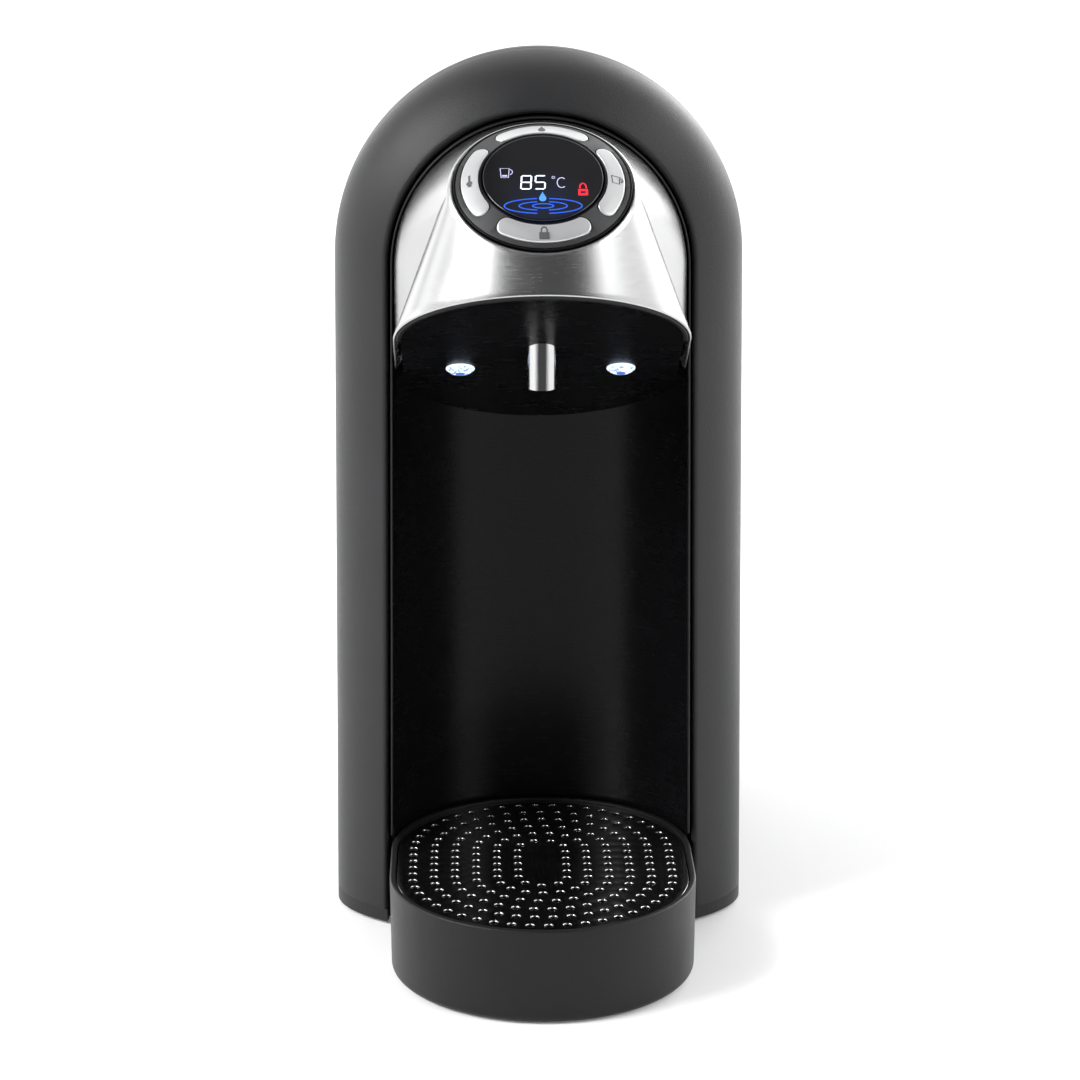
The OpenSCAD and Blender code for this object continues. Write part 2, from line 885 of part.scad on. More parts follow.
// A cup in the platform; the pin in its middle opens the tank's valve
module dock_socket() {
    color("#2b2c2e") translate([0, dock_y, 0]) difference() {
        union() {
            translate([0, 0, socket_z]) cylinder(r = socket_r, h = deck_z - socket_z);
            translate([0, 0, elbow_z - hose_r - 0.4]) cylinder(r = hose_r + 1, h = hose_r + 4);
            elbow(hose_r, elbow_l);
        }
        difference() {
            translate([0, 0, socket_z + 2]) cylinder(r = socket_bore_r, h = 20);
            cylinder(r = 1.5, h = valve_stem_z - 0.3);
        }
        translate([0, -3, elbow_z]) cylinder(r = 1.2, h = 10);
        elbow(2, elbow_l + 1);
    }
}

// The outlet under the socket, towards the pump
module elbow(r, l) {
    translate([0, 0, elbow_z]) rotate([90, 0, 0]) cylinder(r = r, h = l);
}

module dock_seal() {
    color("#c4552d") translate([0, dock_y, deck_z - 5]) difference() {
        cylinder(r = socket_bore_r - 0.05, h = 3);
        translate([0, 0, -1]) cylinder(r = spigot_r + 0.3, h = 5);
    }
}

module tank_switch_place() {
    translate([40, dock_y, deck_z - wall]) children();
}

module tank_switch() {
    color("#f0f0ea") tank_switch_place() {
        translate([0, 0, -1.5]) cylinder(r = 4, h = wall + 1.7);
        translate([-6, -5, -9]) cube([12, 10, 7.5]);
    }
}

// Tank

module tank_body(inset, z_from, z_to) {
    intersection() {
        rear_block(tank_y + inset, tank_r - inset, back_y - inset, back_round - inset);
        slab(0, far, z_from, z_to);
    }
}

module water_tank() {
    color([0.35, 0.38, 0.42, 0.55]) {
        difference() {
            union() {
                difference() {
                    tank_body(0, tank_z, lid_z);
                    difference() {
                        tank_body(tank_wall, valve_seat_z, lid_z + 1);
                        grip_pocket(tank_wall);
                    }
                }
                translate([0, dock_y, tank_z - spigot_drop]) cylinder(r = spigot_r, h = spigot_drop + 1);
            }
            translate([0, dock_y, tank_z - spigot_drop - 1])
                cylinder(r = spigot_r - spigot_wall, h = spigot_drop);
            translate([0, dock_y, tank_z - 2]) cylinder(r = 5, h = 10);
            grip_pocket(0);
            slab(hinge_y - barrel_r, far, hinge_z - barrel_r - barrel_gap, far, 48);
        }
        hinge_ears();
    }
}

// A recess in the tank's back for the fingers, grown by the wall that lines it
module grip_pocket(grow) {
    slab(back_y - grip_d - grow, back_y + 5, grip_z - grow, grip_z + grip_h + grow, grip_half + grow);
}

// A cylinder along X on the lid's hinge axis
module on_hinge(x_from, x_to, r) {
    translate([x_from, hinge_y, hinge_z]) rotate([0, 90, 0]) cylinder(r = r, h = x_to - x_from);
}

module hinge_ears() {
    for (side = [0, 1]) mirror([side, 0, 0]) difference() {
        union() {
            on_hinge(ear_from, ear_to, barrel_r);
            translate([ear_from, hinge_y - barrel_r, hinge_z - 5])
                cube([ear_to - ear_from, barrel_r + 0.5, 5]);
        }
        on_hinge(ear_from - 1, ear_to + 1, hinge_pin_r + 0.02);
    }
}

module tank_lid() {
    color("#3f4144") difference() {
        union() {
            difference() {
                tank_body(0, lid_z + lid_gap, far);
                tank_body(tank_wall, 0, far);
            }
            on_hinge(-40, 40, barrel_r);
        }
        for (side = [0, 1]) mirror([side, 0, 0])
            on_hinge(ear_from - barrel_gap, ear_to + barrel_gap, barrel_r + barrel_gap);
        on_hinge(-ear_to - 1, ear_to + 1, hinge_pin_r + 0.05);
    }
}

module lid_hinge_pin() {
    color("silver") on_hinge(-ear_to, ear_to, hinge_pin_r);
}

// Drawn closed, just above its seat, with its foot just above the pin in the dock
module tank_valve() {
    color("#e8e6df") translate([0, dock_y, 0]) {
        translate([0, 0, valve_seat_z + 0.3]) cylinder(r = valve_r, h = 2);
        translate([0, 0, valve_stem_z]) cylinder(r = stem_r, h = valve_seat_z + 1 - valve_stem_z);
        translate([0, 0, valve_stem_z]) cylinder(r = 3, h = 0.6);
    }
}

module valve_guide() {
    color("#e8e6df") translate([0, dock_y, guide_z]) difference() {
        cylinder(r = spigot_r - spigot_wall - 0.02, h = 1.5);
        translate([0, 0, -1]) cylinder(r = stem_r + 0.08, h = 4);
        for (turn = [0:120:240]) rotate([0, 0, turn]) translate([4.4, 0, -1]) cylinder(r = 1.3, h = 4);
    }
}

// Pushes the valve's foot down, away from the guide
module valve_spring() {
    turns = 2.5;
    steps = 12;
    wire_r = 0.3;
    z_from = valve_stem_z + 0.6 + wire_r + 0.1;
    z_to = guide_z - wire_r - 0.1;
    color("silver") swept_tube([for (i = [0:turns * steps])
        [2.4 * cos(360 * i / steps), dock_y + 2.4 * sin(360 * i / steps),
            z_from + (z_to - z_from) * i / (turns * steps)]], wire_r, 6, [0.1, 0.2, 1]);
}

module outlet_strainer() {
    color("#e8e6df") translate([0, dock_y, valve_seat_z + 0.05]) difference() {
        cylinder(r = 11, h = 9);
        translate([0, 0, -1]) cylinder(r = 10, h = 9);
        for (turn = [0:30:330]) rotate([0, 0, turn]) translate([9, -1, 2]) cube([4, 2, 4]);
    }
}

front_shell();
main_housing();
cavity_liner();
cavity_bezel();
base_pan();
rubber_feet();
base_screws();
cord_inlet();
head_cover();
underside_panel();
underside_rim();
nozzle_sleeve();
spout_tube();
light_lenses();
light_boards();
control_ring();
display_lens();
display_module();
control_board();
panel_switches();
button_dispense();
button_temperature();
button_volume();
button_lock();
drip_tray();
drip_grille();
heater_tube();
heater_caps();
heater_bracket();
thermal_fuse();
outlet_sensor();
steam_separator();
pump_head();
pump_motor();
pump_rotor();
pump_cradle();
suction_hose();
pressure_hose();
outlet_hose();
power_board();
power_components();
board_standoffs();
control_lead();
mains_lead();
heater_lead();
dock_socket();
dock_seal();
tank_switch();
water_tank();
tank_lid();
lid_hinge_pin();
tank_valve();
valve_guide();
valve_spring();
outlet_strainer();
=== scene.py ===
"""Looks for the countertop water dispenser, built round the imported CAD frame.

Lengths are in millimetres in the row frame until a mesh is made, when MM turns them into metres.
"""

import json
import math

import bmesh
import bpy
import numpy as np
from mathutils import Matrix, Quaternion, Vector
from mathutils.geometry import delaunay_2d_cdt


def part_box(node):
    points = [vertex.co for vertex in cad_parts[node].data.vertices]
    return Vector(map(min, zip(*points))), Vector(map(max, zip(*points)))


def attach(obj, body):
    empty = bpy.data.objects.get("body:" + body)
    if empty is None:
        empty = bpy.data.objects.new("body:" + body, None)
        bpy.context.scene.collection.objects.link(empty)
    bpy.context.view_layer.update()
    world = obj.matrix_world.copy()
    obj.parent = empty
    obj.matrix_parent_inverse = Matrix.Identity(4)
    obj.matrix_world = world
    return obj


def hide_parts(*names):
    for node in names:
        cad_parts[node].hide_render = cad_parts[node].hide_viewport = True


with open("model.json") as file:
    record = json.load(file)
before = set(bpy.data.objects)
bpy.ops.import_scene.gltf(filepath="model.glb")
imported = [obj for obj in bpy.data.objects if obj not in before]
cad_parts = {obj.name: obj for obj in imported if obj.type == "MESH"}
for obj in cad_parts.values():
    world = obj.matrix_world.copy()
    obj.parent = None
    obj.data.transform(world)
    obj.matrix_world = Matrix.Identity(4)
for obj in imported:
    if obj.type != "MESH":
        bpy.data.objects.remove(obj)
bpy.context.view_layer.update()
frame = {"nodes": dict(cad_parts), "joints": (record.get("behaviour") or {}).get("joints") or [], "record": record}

MM = 0.001

# ---------------------------------------------------------------- sizes from the frame


def corners(node):
    """A CAD node's lowest and highest corners, in millimetres."""
    low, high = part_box(node)
    return low / MM, high / MM


def middle(node):
    low, high = corners(node)
    return (low + high) / 2


shell_low, shell_high = corners("front_shell")
housing_high = corners("main_housing")[1]
tray_low, tray_high = corners("drip_tray")
tank_low = corners("water_tank")[0]
liner_low, liner_high = corners("cavity_liner")
nozzle_low, nozzle_high = corners("nozzle_sleeve")
grille_low, grille_high = corners("drip_grille")

# Body: an arch on two columns that lean outward a little
ARCH_R = 77.5
SPLAY = math.radians(0.63)
OPENING_R = 56.5
WALL = 2.5
BACK_SLOPE = math.radians(7)
BACK_ROUND = 22
BAND_PROUD = 0.6
seam_y = shell_high.y
face_d = 45
arch_z = shell_high.z - ARCH_R
base_z = shell_low.z
band_end_y = seam_y + 8
bay_y = tank_low.y - 1
deck_z = 24
back_y = housing_high.y
tank_top_z = 286
FAR = 400

# Cavity and head
CAVITY_R = 59.2
STEEL_R = 54.5
UNDER_TILT = math.radians(30.5)
cavity_y = liner_high.y - CAVITY_R - 1.8
under_z = 228.5
head_mid_y = cavity_y - 17.2
HEAD_NOSE = 41
head_back_y = seam_y - 32
HEAD_LIP = 0.6
HEAD_WALL = 1.68
COLLAR_R = 33.0

# Tray and grille
TRAY_R = tray_high.x
tray_straight = tray_high.y - tray_low.y - 2 * TRAY_R
tray_y = (tray_low.y + tray_high.y) / 2
tray_top = tray_high.z
HOLE_R = 1.5
HOLE_PITCH = 8
HOLE_SPACING = 6.8
HOLE_RINGS = 6

# The control panel's frame: its normal is opposite to the way the keys are pressed
press = next(j for j in frame["joints"] if j["name"] == "dispense_press")
panel_normal = -Vector(press["axis"]).normalized()
LENS_R = 21.5
LENS_RISE = 4.8
lens_top = LENS_RISE + 0.1
LENS_T = 1.6
RING_R = 32.0
RING_EDGE = 0.8
KEY_MID_R = 26.2
KEY_W = 6.2
KEY_HALF = math.radians(38)
KEY_GAP = 0.35
KEY_PROUD = 0.35
ICON_SIZE = 1.45
panel_centre = middle("display_lens") - panel_normal * (lens_top - LENS_T / 2)
panel = Matrix.Translation(panel_centre) @ panel_normal.to_track_quat("Z", "Y").to_matrix().to_4x4()

# ---------------------------------------------------------------- mesh helpers


class Shape:
    """Points in millimetres and the faces between them."""

    def __init__(self):
        self.points = []
        self.faces = []

    def add(self, points):
        first = len(self.points)
        self.points.extend(Vector(p) for p in points)
        return first

    def grid(self, rows, around=False, along=False):
        """Quads between rows of points. around closes each row, and along joins the last row to the first."""
        n, m = len(rows), len(rows[0])
        first = self.add(p for row in rows for p in row)
        for i in range(n if along else n - 1):
            for j in range(m if around else m - 1):
                k, up = (j + 1) % m, (i + 1) % n
                self.faces.append([first + q for q in (i * m + j, i * m + k, up * m + k, up * m + j)])
        return self

    def face(self, points):
        first = self.add(points)
        self.faces.append(list(range(first, len(self.points))))
        return self

    def triangles(self, points, faces):
        first = self.add(points)
        self.faces.extend([first + i for i in f] for f in faces)
        return self

    def moved(self, matrix):
        self.points = [matrix @ p for p in self.points]
        return self

    def made(self, name):
        """The shape as a Blender object, its doubled points merged and its faces turned outward."""
        mesh = bpy.data.meshes.new(name)
        mesh.from_pydata([p * MM for p in self.points], [], self.faces)
        edit = bmesh.new()
        edit.from_mesh(mesh)
        bmesh.ops.remove_doubles(edit, verts=edit.verts, dist=1e-6)
        bmesh.ops.recalc_face_normals(edit, faces=edit.faces)
        edit.to_mesh(mesh)
        edit.free()
        obj = bpy.data.objects.new(name, mesh)
        bpy.context.scene.collection.objects.link(obj)
        return obj


def applied(obj):
    """Turns what the modifiers give into the object's own mesh."""
    depsgraph = bpy.context.evaluated_depsgraph_get()
    mesh = bpy.data.meshes.new_from_object(obj.evaluated_get(depsgraph))
    obj.modifiers.clear()
    old, obj.data = obj.data, mesh
    bpy.data.meshes.remove(old)
    return obj


def boolean(obj, other, operation="DIFFERENCE"):
    """Cuts the other object away from this one, or joins or crosses them, and removes the other."""
    modifier = obj.modifiers.new("boolean", "BOOLEAN")
    modifier.operation = operation
    modifier.solver = "EXACT"
    modifier.object = other
    applied(obj)
    bpy.data.objects.remove(other)
    return obj


def bevelled(obj, width, segments=2, angle=40):
    """Rounds the edges that are sharper than the angle."""
    modifier = obj.modifiers.new("bevel", "BEVEL")
    modifier.width = width * MM
    modifier.segments = segments
    modifier.limit_method = "ANGLE"
    modifier.angle_limit = math.radians(angle)
    modifier.use_clamp_overlap = True
    return applied(obj)


def clipped(obj, point, normal):
    """Keeps what lies behind the plane and closes the cut."""
    edit = bmesh.new()
    edit.from_mesh(obj.data)
    everything = edit.verts[:] + edit.edges[:] + edit.faces[:]
    bmesh.ops.bisect_plane(
        edit, geom=everything, dist=1e-7, plane_co=Vector(point) * MM, plane_no=normal, clear_outer=True)
    bmesh.ops.holes_fill(edit, edges=[e for e in edit.edges if e.is_boundary])
    bmesh.ops.recalc_face_normals(edit, faces=edit.faces)
    edit.to_mesh(obj.data)
    edit.free()
    return obj


def box(low, high, name="box"):
    x, y, z = zip(low, high)
    ends = [[(x[i], y[j], z[k]) for i, j in ((0, 0), (1, 0), (1, 1), (0, 1))] for k in (0, 1)]
    shape = Shape().grid(ends, around=True)
    return shape.face(ends[0]).face(ends[1]).made(name)


def arc(radius, start, end, steps):
    """Points round 0, 0 from one angle to another, in radians, both ends included."""
    turns = [start + (end - start) * i / steps for i in range(steps + 1)]
    return [(radius * math.cos(t), radius * math.sin(t)) for t in turns]


def corner(x, y, radius, start, end, steps=6):
    """An arc in degrees round x, y, for rounding the corners of a section."""
    return [(x + a, y + b) for a, b in arc(radius, math.radians(start), math.radians(end), steps)]


def lathed(profile, place=Matrix(), steps=128, closed=True):
    """A section of radius and height turned round the place's Z axis."""
    turns = [2 * math.pi * i / steps for i in range(steps)]
    rows = [[(r * math.cos(t), r * math.sin(t), z) for t in turns] for r, z in profile]
    shape = Shape().grid(rows, around=True, along=closed)
    if not closed:
        shape.face(rows[0]).face(rows[-1])
    return shape.moved(place)


def cylinder(radius, z_from, z_to, place=Matrix(), steps=64):
    return lathed([(radius, z_from), (radius, z_to)], place, steps, closed=False)


# ---------------------------------------------------------------- the body's two sweeps


def along_arch(profile, y, foot_z, steps=96):
    """A closed section of radius and distance forward of y, carried over the arch from foot to foot."""
    angles = [SPLAY + (math.pi - 2 * SPLAY) * i / steps for i in range(steps + 1)]

    def over(t):
        return [(r * math.cos(t), y - d, arch_z + r * math.sin(t)) for r, d in profile]

    def foot(side):
        row = []
        for r, d in profile:
            drop = (arch_z + r * math.sin(SPLAY) - foot_z) / math.cos(SPLAY)
            row.append((side * (r * math.cos(SPLAY) + drop * math.sin(SPLAY)), y - d, foot_z))
        return row

    rows = [foot(1)] + [over(t) for t in angles] + [foot(-1)]
    shape = Shape().grid(rows, around=True)
    return shape.face(rows[0]).face(rows[-1])


def tombstone(r, y, centre_z, foot_z, steps=72):
    """The body's outline at one depth, from the right foot over the arch to the left foot."""
    out = r * math.cos(SPLAY) + (centre_z + r * math.sin(SPLAY) - foot_z) * math.tan(SPLAY)
    curve = arc(r, SPLAY, math.pi - SPLAY, steps)
    return [(out, y, foot_z)] + [(x, y, centre_z + z) for x, z in curve] + [(-out, y, foot_z)]


def rear_block(y_from, r, y_to, edge, foot_z, name):
    """The body behind the seam: it falls towards the back, and its back edge is rounded."""
    stations = [(y_from, r)]
    for x, y in arc(edge, 0, math.pi / 2, 12):
        stations.append((y_to - edge + y, r - edge + x))
    rows = []
    for y, radius in stations:
        centre = arch_z - (y - band_end_y) * math.tan(BACK_SLOPE)
        rows.append(tombstone(radius, y, centre, foot_z))
    return Shape().grid(rows, around=True).face(rows[0]).face(rows[-1]).made(name)


# ---------------------------------------------------------------- materials


class Nodes:
    """Builds one material's node tree."""

    def __init__(self, name, **uniform):
        self.material = bpy.data.materials.new(name)
        self.material.use_nodes = True
        self.tree = self.material.node_tree
        self.shader = self.tree.nodes["Principled BSDF"]
        self.coords = self.tree.nodes.new("ShaderNodeTexCoord").outputs["Object"]
        for socket, value in uniform.items():
            self.shader.inputs[socket.replace("_", " ")].default_value = value

    def node(self, kind, **settings):
        made = self.tree.nodes.new(kind)
        for key, value in settings.items():
            if hasattr(made, key):
                setattr(made, key, value)
            else:
                made.inputs[key.replace("_", " ")].default_value = value
        return made

    def link(self, source, target):
        self.tree.links.new(source, target)

    def noise(self, size, stretch=(1, 1, 1), detail=3.0, roughness=0.55):
        """Noise with features about size millimetres across, longer along an axis where stretch is large."""
        mapping = self.node("ShaderNodeMapping")
        mapping.inputs["Scale"].default_value = [1 / s for s in stretch]
        self.link(self.coords, mapping.inputs["Vector"])
        noise = self.node("ShaderNodeTexNoise", Scale=1 / (size * MM), Detail=detail, Roughness=roughness)
        self.link(mapping.outputs[0], noise.inputs["Vector"])
        return noise.outputs["Fac"]

    def ramp(self, value, low, high, start=0.3, end=0.7):
        """Maps a value between start and end onto low to high."""
        ranged = self.node("ShaderNodeMapRange", From_Min=start, From_Max=end, To_Min=low, To_Max=high)
        self.link(value, ranged.inputs["Value"])
        return ranged.outputs[0]

    def blend(self, factor, first, second):
        mix = self.node("ShaderNodeMix", data_type="RGBA")
        for socket in mix.inputs:
            if socket.name in "AB" and socket.type == "RGBA":
                socket.default_value = (*(first if socket.name == "A" else second), 1)
        self.link(factor, mix.inputs[0])
        return next(s for s in mix.outputs if s.type == "RGBA")

    def add(self, first, second):
        made = self.node("ShaderNodeMath", operation="ADD")
        self.link(first, made.inputs[0])
        self.link(second, made.inputs[1])
        return made.outputs[0]

    def colour(self, factor, first, second):
        tone = self.blend(factor, first, second)
        self.link(tone, self.shader.inputs["Base Color"])
        return tone

    def rough(self, value):
        self.link(value, self.shader.inputs["Roughness"])

    def shine(self, colour):
        self.link(colour, self.shader.inputs["Emission Color"])

    def bump(self, height, distance):
        """Adds a bump of about distance millimetres on top of those there already."""
        made = self.node("ShaderNodeBump", Strength=1.0, Distance=distance * MM)
        self.link(height, made.inputs["Height"])
        normal = self.shader.inputs["Normal"]
        if normal.is_linked:
            self.link(normal.links[0].from_socket, made.inputs["Normal"])
        self.link(made.outputs[0], normal)


def shade(colour, factor):
    return tuple(min(1, c * factor) for c in colour)


def moulded(name, colour, rough, grain=0.5, depth=0.02, patch=30, tint=0.12, **uniform):
    """Moulded plastic or rubber: a fine grain, faint patches of colour and a roughness that drifts."""
    drift = 0.05
    n = Nodes(name, **uniform)
    broad = n.noise(patch, detail=4)
    n.colour(n.ramp(broad, 0, 1), shade(colour, 1 - tint), shade(colour, 1 + tint))
    n.rough(n.ramp(broad, rough - drift, rough + drift))
    n.bump(n.noise(grain, detail=2), depth)
    return n.material


def soft_touch(name, colour, specular=0.22):
    """Soft-touch paint: a leathery grain that catches the light as it turns away, with rubbed patches."""
    n = Nodes(name, Specular_IOR_Level=specular, Sheen_Weight=0.02, Sheen_Roughness=0.4)
    grain = n.noise(0.55, detail=3, roughness=0.7)
    rubbed = n.noise(45, detail=5)
    n.colour(n.ramp(rubbed, 0, 1), shade(colour, 0.9), shade(colour, 1.12))
    n.rough(n.add(n.ramp(grain, -0.07, 0.07), n.ramp(rubbed, 0.33, 0.41)))
    n.bump(grain, 0.12)
    n.bump(n.noise(0.3, detail=1), 0.06)
    return n.material


def gloss(name, colour, rough):
    """Glossy black plastic: faint haze from wiping, and the slow waves of a moulding."""
    n = Nodes(name, Specular_IOR_Level=0.1)
    haze = n.noise(14, detail=6, roughness=0.65)
    wipes = n.noise(1.2, stretch=(14, 14, 1), detail=2)
    n.colour(haze, shade(colour, 0.8), shade(colour, 1.3))
    n.rough(n.add(n.ramp(haze, rough, rough + 0.08), n.ramp(wipes, 0, 0.04)))
    n.bump(n.noise(35, detail=1), 0.02)
    return n.material


def steel(name, colour, rough, brush=0.1, depth=0.003, stretch=(60, 60, 1), anisotropic=0.6, swirl=0.06):
    """Stainless steel. Brush marks run round the Z axis and spread the highlights across them."""
    n = Nodes(name, Metallic=1.0, Anisotropic=anisotropic)
    lines = n.noise(brush, stretch=stretch, detail=3, roughness=0.7)
    broad = n.noise(18, stretch=(2, 2, 1), detail=4)
    n.colour(n.ramp(lines, 0, 1, 0.25, 0.75), shade(colour, 0.94), shade(colour, 1.05))
    n.rough(n.add(n.ramp(lines, rough - swirl, rough + swirl, 0.25, 0.75), n.ramp(broad, -0.02, 0.03)))
    n.bump(lines, depth)
    tangent = n.node("ShaderNodeTangent", direction_type="RADIAL", axis="Z")
    n.link(tangent.outputs[0], n.shader.inputs["Tangent"])
    return n.material


def painted_reflection_steel(name, colour, half, soft):
    """Polished tube steel with a painted reflection: the dark of the room is painted into its colour as one soft
    streak down its front and back.
    """
    wave = 0.2 * MM
    n = Nodes(name, Metallic=1.0)
    split = n.node("ShaderNodeSeparateXYZ")
    n.link(n.coords, split.inputs[0])
    side = n.node("ShaderNodeMath", operation="ABSOLUTE")
    n.link(split.outputs[0], side.inputs[0])
    lines = n.noise(0.15, stretch=(1, 1, 40), detail=2)
    wavy = n.add(side.outputs[0], n.ramp(lines, -wave, wave))
    # painted reflection: the colour is darkened to 7% near x = 0, standing in for the dark room mirrored in the
    # tube
    n.colour(n.ramp(wavy, 0, 1, half * MM, (half + soft) * MM), shade(colour, 0.07), colour)
    n.rough(n.ramp(lines, 0.14, 0.22))
    n.bump(lines, 0.002)
    return n.material


def metal(name, colour, rough, depth=0.01):
    """Cast, plated or machined metal with a fine mottle."""
    n = Nodes(name, Metallic=1.0)
    mottle = n.noise(0.8, detail=4)
    n.colour(n.ramp(n.noise(12, detail=3), 0, 1), shade(colour, 0.85), shade(colour, 1.15))
    n.rough(n.ramp(mottle, rough - 0.07, rough + 0.09))
    n.bump(mottle, depth)
    return n.material


def board(name):
    """A circuit board: green solder mask over straight copper tracks."""
    n = Nodes(name, Specular_IOR_Level=0.5)
    tracks = n.node("ShaderNodeTexBrick", Scale=1 / (7 * MM), Mortar_Size=0.03)
    n.link(n.coords, tracks.inputs["Vector"])
    n.colour(tracks.outputs["Fac"], (0.012, 0.1, 0.04), (0.04, 0.22, 0.1))
    n.rough(n.ramp(n.noise(9), 0.28, 0.4))
    n.bump(tracks.outputs["Fac"], 0.03)
    return n.material


def smoked(name):
    """Smoke-grey transparent plastic with the faint flow marks of a moulding."""
    n = Nodes(name, Transmission_Weight=1.0, IOR=1.49, Specular_IOR_Level=0.5)
    flow = n.noise(60, stretch=(1, 1, 3), detail=3)
    n.colour(n.ramp(flow, 0, 1), (0.4, 0.415, 0.44), (0.47, 0.485, 0.51))
    n.rough(n.ramp(n.noise(4, detail=6, roughness=0.7), 0.03, 0.13))
    n.bump(flow, 0.05)
    return n.material


def lit(name, colour, strength, edge=0.75):
    """Something that shines: brighter and duller by a fine print or die pattern."""
    n = Nodes(name, Emission_Strength=strength, Roughness=0.3)
    pattern = n.ramp(n.noise(0.6, detail=1), 0, 1)
    n.shine(n.colour(pattern, shade(colour, edge), colour))
    return n.material


def faceted(name):
    """A lit lens whose facets run from white to a soft blue."""
    n = Nodes(name, Emission_Strength=0.85, Roughness=0.2)
    cells = n.node("ShaderNodeTexVoronoi", Scale=1 / (1.1 * MM))
    n.link(n.coords, cells.inputs["Vector"])
    split = n.node("ShaderNodeSeparateColor")
    n.link(cells.outputs["Color"], split.inputs[0])
    facets = n.ramp(split.outputs[0], 0, 1, 0.2, 0.8)
    n.shine(n.colour(facets, (0.16, 0.27, 0.62), (0.85, 0.93, 1.0)))
    return n.material


def display_glass(name):
    """Black glass over a display that glows deep blue round its drop and rings."""
    n = Nodes(name, Specular_IOR_Level=0.45, Emission_Strength=1.0)
    haze = n.noise(10, detail=5)
    n.rough(n.ramp(haze, 0.025, 0.06))
    n.colour(haze, (0.002, 0.002, 0.003), (0.006, 0.006, 0.008))
    glow = n.node("ShaderNodeVectorMath", operation="DISTANCE")
    n.link(n.coords, glow.inputs[0])
    glow.inputs[1].default_value = on_display(0, -12.5, 0) * MM
    n.shine(n.blend(n.ramp(glow.outputs["Value"], 1, 0, 0, 17 * MM), (0, 0, 0), (0, 0.007, 0.03)))
    return n.material


def on_display(x, y, rise):
    """A point on the display glass: x to the right, y up the panel."""
    return panel @ Vector((x, y, lens_top + rise))


def finishes():
    """One material for each of the record's slots."""
    made = {}

    def add(make, slot, *values, **settings):
        made[slot] = make(slot, *values, **settings)

    glow = {"Subsurface_Scale": 2 * MM}
    add(soft_touch, "shell_charcoal", (0.018, 0.0183, 0.0193))
    add(soft_touch, "tray_charcoal", (0.008, 0.0081, 0.0086), 0.2)
    add(moulded, "pan_black", (0.008, 0.008, 0.0085), 0.45, grain=0.7, Specular_IOR_Level=0.3)
    add(gloss, "black_gloss", (0.003, 0.003, 0.0034), 0.2)
    add(moulded, "rim_grey", (0.006, 0.006, 0.0065), 0.42, grain=0.4, depth=0.01, Specular_IOR_Level=0.25)
    add(steel, "brushed_steel", (0.47, 0.47, 0.475), 0.22, depth=0.004)
    add(steel, "polished_steel", (0.66, 0.66, 0.67), 0.13, depth=0.002, anisotropic=0.2, swirl=0.04)
    add(moulded, "ring_grey", (0.03, 0.0305, 0.032), 0.38, grain=0.35, depth=0.012, Specular_IOR_Level=0.3)
    add(moulded, "key_silver", (0.56, 0.565, 0.57), 0.32, grain=0.3, depth=0.004, tint=0.05, Metallic=0.6)
    add(display_glass, "display_glass")
    add(faceted, "light_lens")
    add(moulded, "rubber_black", (0.014, 0.014, 0.014), 0.7, grain=0.6, depth=0.03)
    add(moulded, "silicone_clear", (0.68, 0.67, 0.63), 0.42, grain=1.5, Subsurface_Weight=0.2, **glow)
    add(moulded, "silicone_red", (0.5, 0.11, 0.045), 0.48)
    add(moulded, "plastic_natural", (0.7, 0.69, 0.64), 0.45, Subsurface_Weight=0.1, **glow)
    add(moulded, "plastic_dark", (0.028, 0.03, 0.033), 0.5, grain=0.4, depth=0.03)
    add(board, "board_green")
    add(moulded, "component_dark", (0.03, 0.032, 0.036), 0.4, patch=6, tint=0.4)
    add(metal, "zinc_steel", (0.55, 0.56, 0.6), 0.3)
    add(metal, "heater_alloy", (0.5, 0.51, 0.53), 0.42, depth=0.04)
    add(metal, "brass", (0.65, 0.46, 0.18), 0.26)
    add(moulded, "lead_black", (0.014, 0.014, 0.015), 0.55, grain=0.9)
    add(moulded, "lead_red", (0.36, 0.03, 0.02), 0.5, grain=0.9)
    add(moulded, "lead_yellow", (0.5, 0.36, 0.04), 0.6, grain=0.9)
    add(smoked, "tank_smoke")
    return made


finish = finishes()


def settle(obj, body, slot, *nodes, angle=35, material=None):
    """Gives a piece its body and its finish, and hides the CAD nodes that it stands for."""
    obj.data.materials.clear()
    obj.data.materials.append(material or finish[slot])
    obj.data.shade_smooth()
    obj.data.set_sharp_from_angle(angle=math.radians(angle))
    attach(obj, body)
    if nodes:
        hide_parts(*nodes)
    return obj


# ---------------------------------------------------------------- body


def lip_start(lip):
    """Where the pillow face gives way to a rolled lip: the angle on its ellipse, and its normal there."""
    low, high = 0.0, math.pi / 2
    for _ in range(40):
        t = (low + high) / 2
        n = Vector((math.cos(t) / ARCH_R, math.sin(t) / face_d)).normalized()
        if ARCH_R * math.cos(t) - lip * n.x - lip > OPENING_R:
            low = t
        else:
            high = t
    return t, n


def shell_section():
    """The front shell's section: a quarter ellipse, a rolled lip at the opening and the wall behind."""
    lip = 1.6
    edge = 0.5
    t_end, n = lip_start(lip)
    centre = Vector((ARCH_R * math.cos(t_end), face_d * math.sin(t_end))) - lip * n
    start = math.asin(edge / face_d)
    face = [(ARCH_R - edge, 0)] + corner(ARCH_R - edge, edge, edge, -60, 0, 3)[:-1]
    for i in range(33):
        t = start + (t_end - start) * i / 32
        face.append((ARCH_R * math.cos(t), face_d * math.sin(t)))
    face += corner(centre.x, centre.y, lip, math.degrees(math.atan2(n.y, n.x)), 200, 10)[1:]
    inner_start = math.acos((OPENING_R + 1.2) / (ARCH_R - WALL))
    for i in range(13):
        t = inner_start * (1 - i / 12)
        face.append(((ARCH_R - WALL) * math.cos(t), (face_d - WALL) * math.sin(t)))
    return face


def front_shell():
    shell = along_arch(shell_section(), seam_y, base_z).made("shell_front")
    settle(shell, "machine", "shell_charcoal", "front_shell")


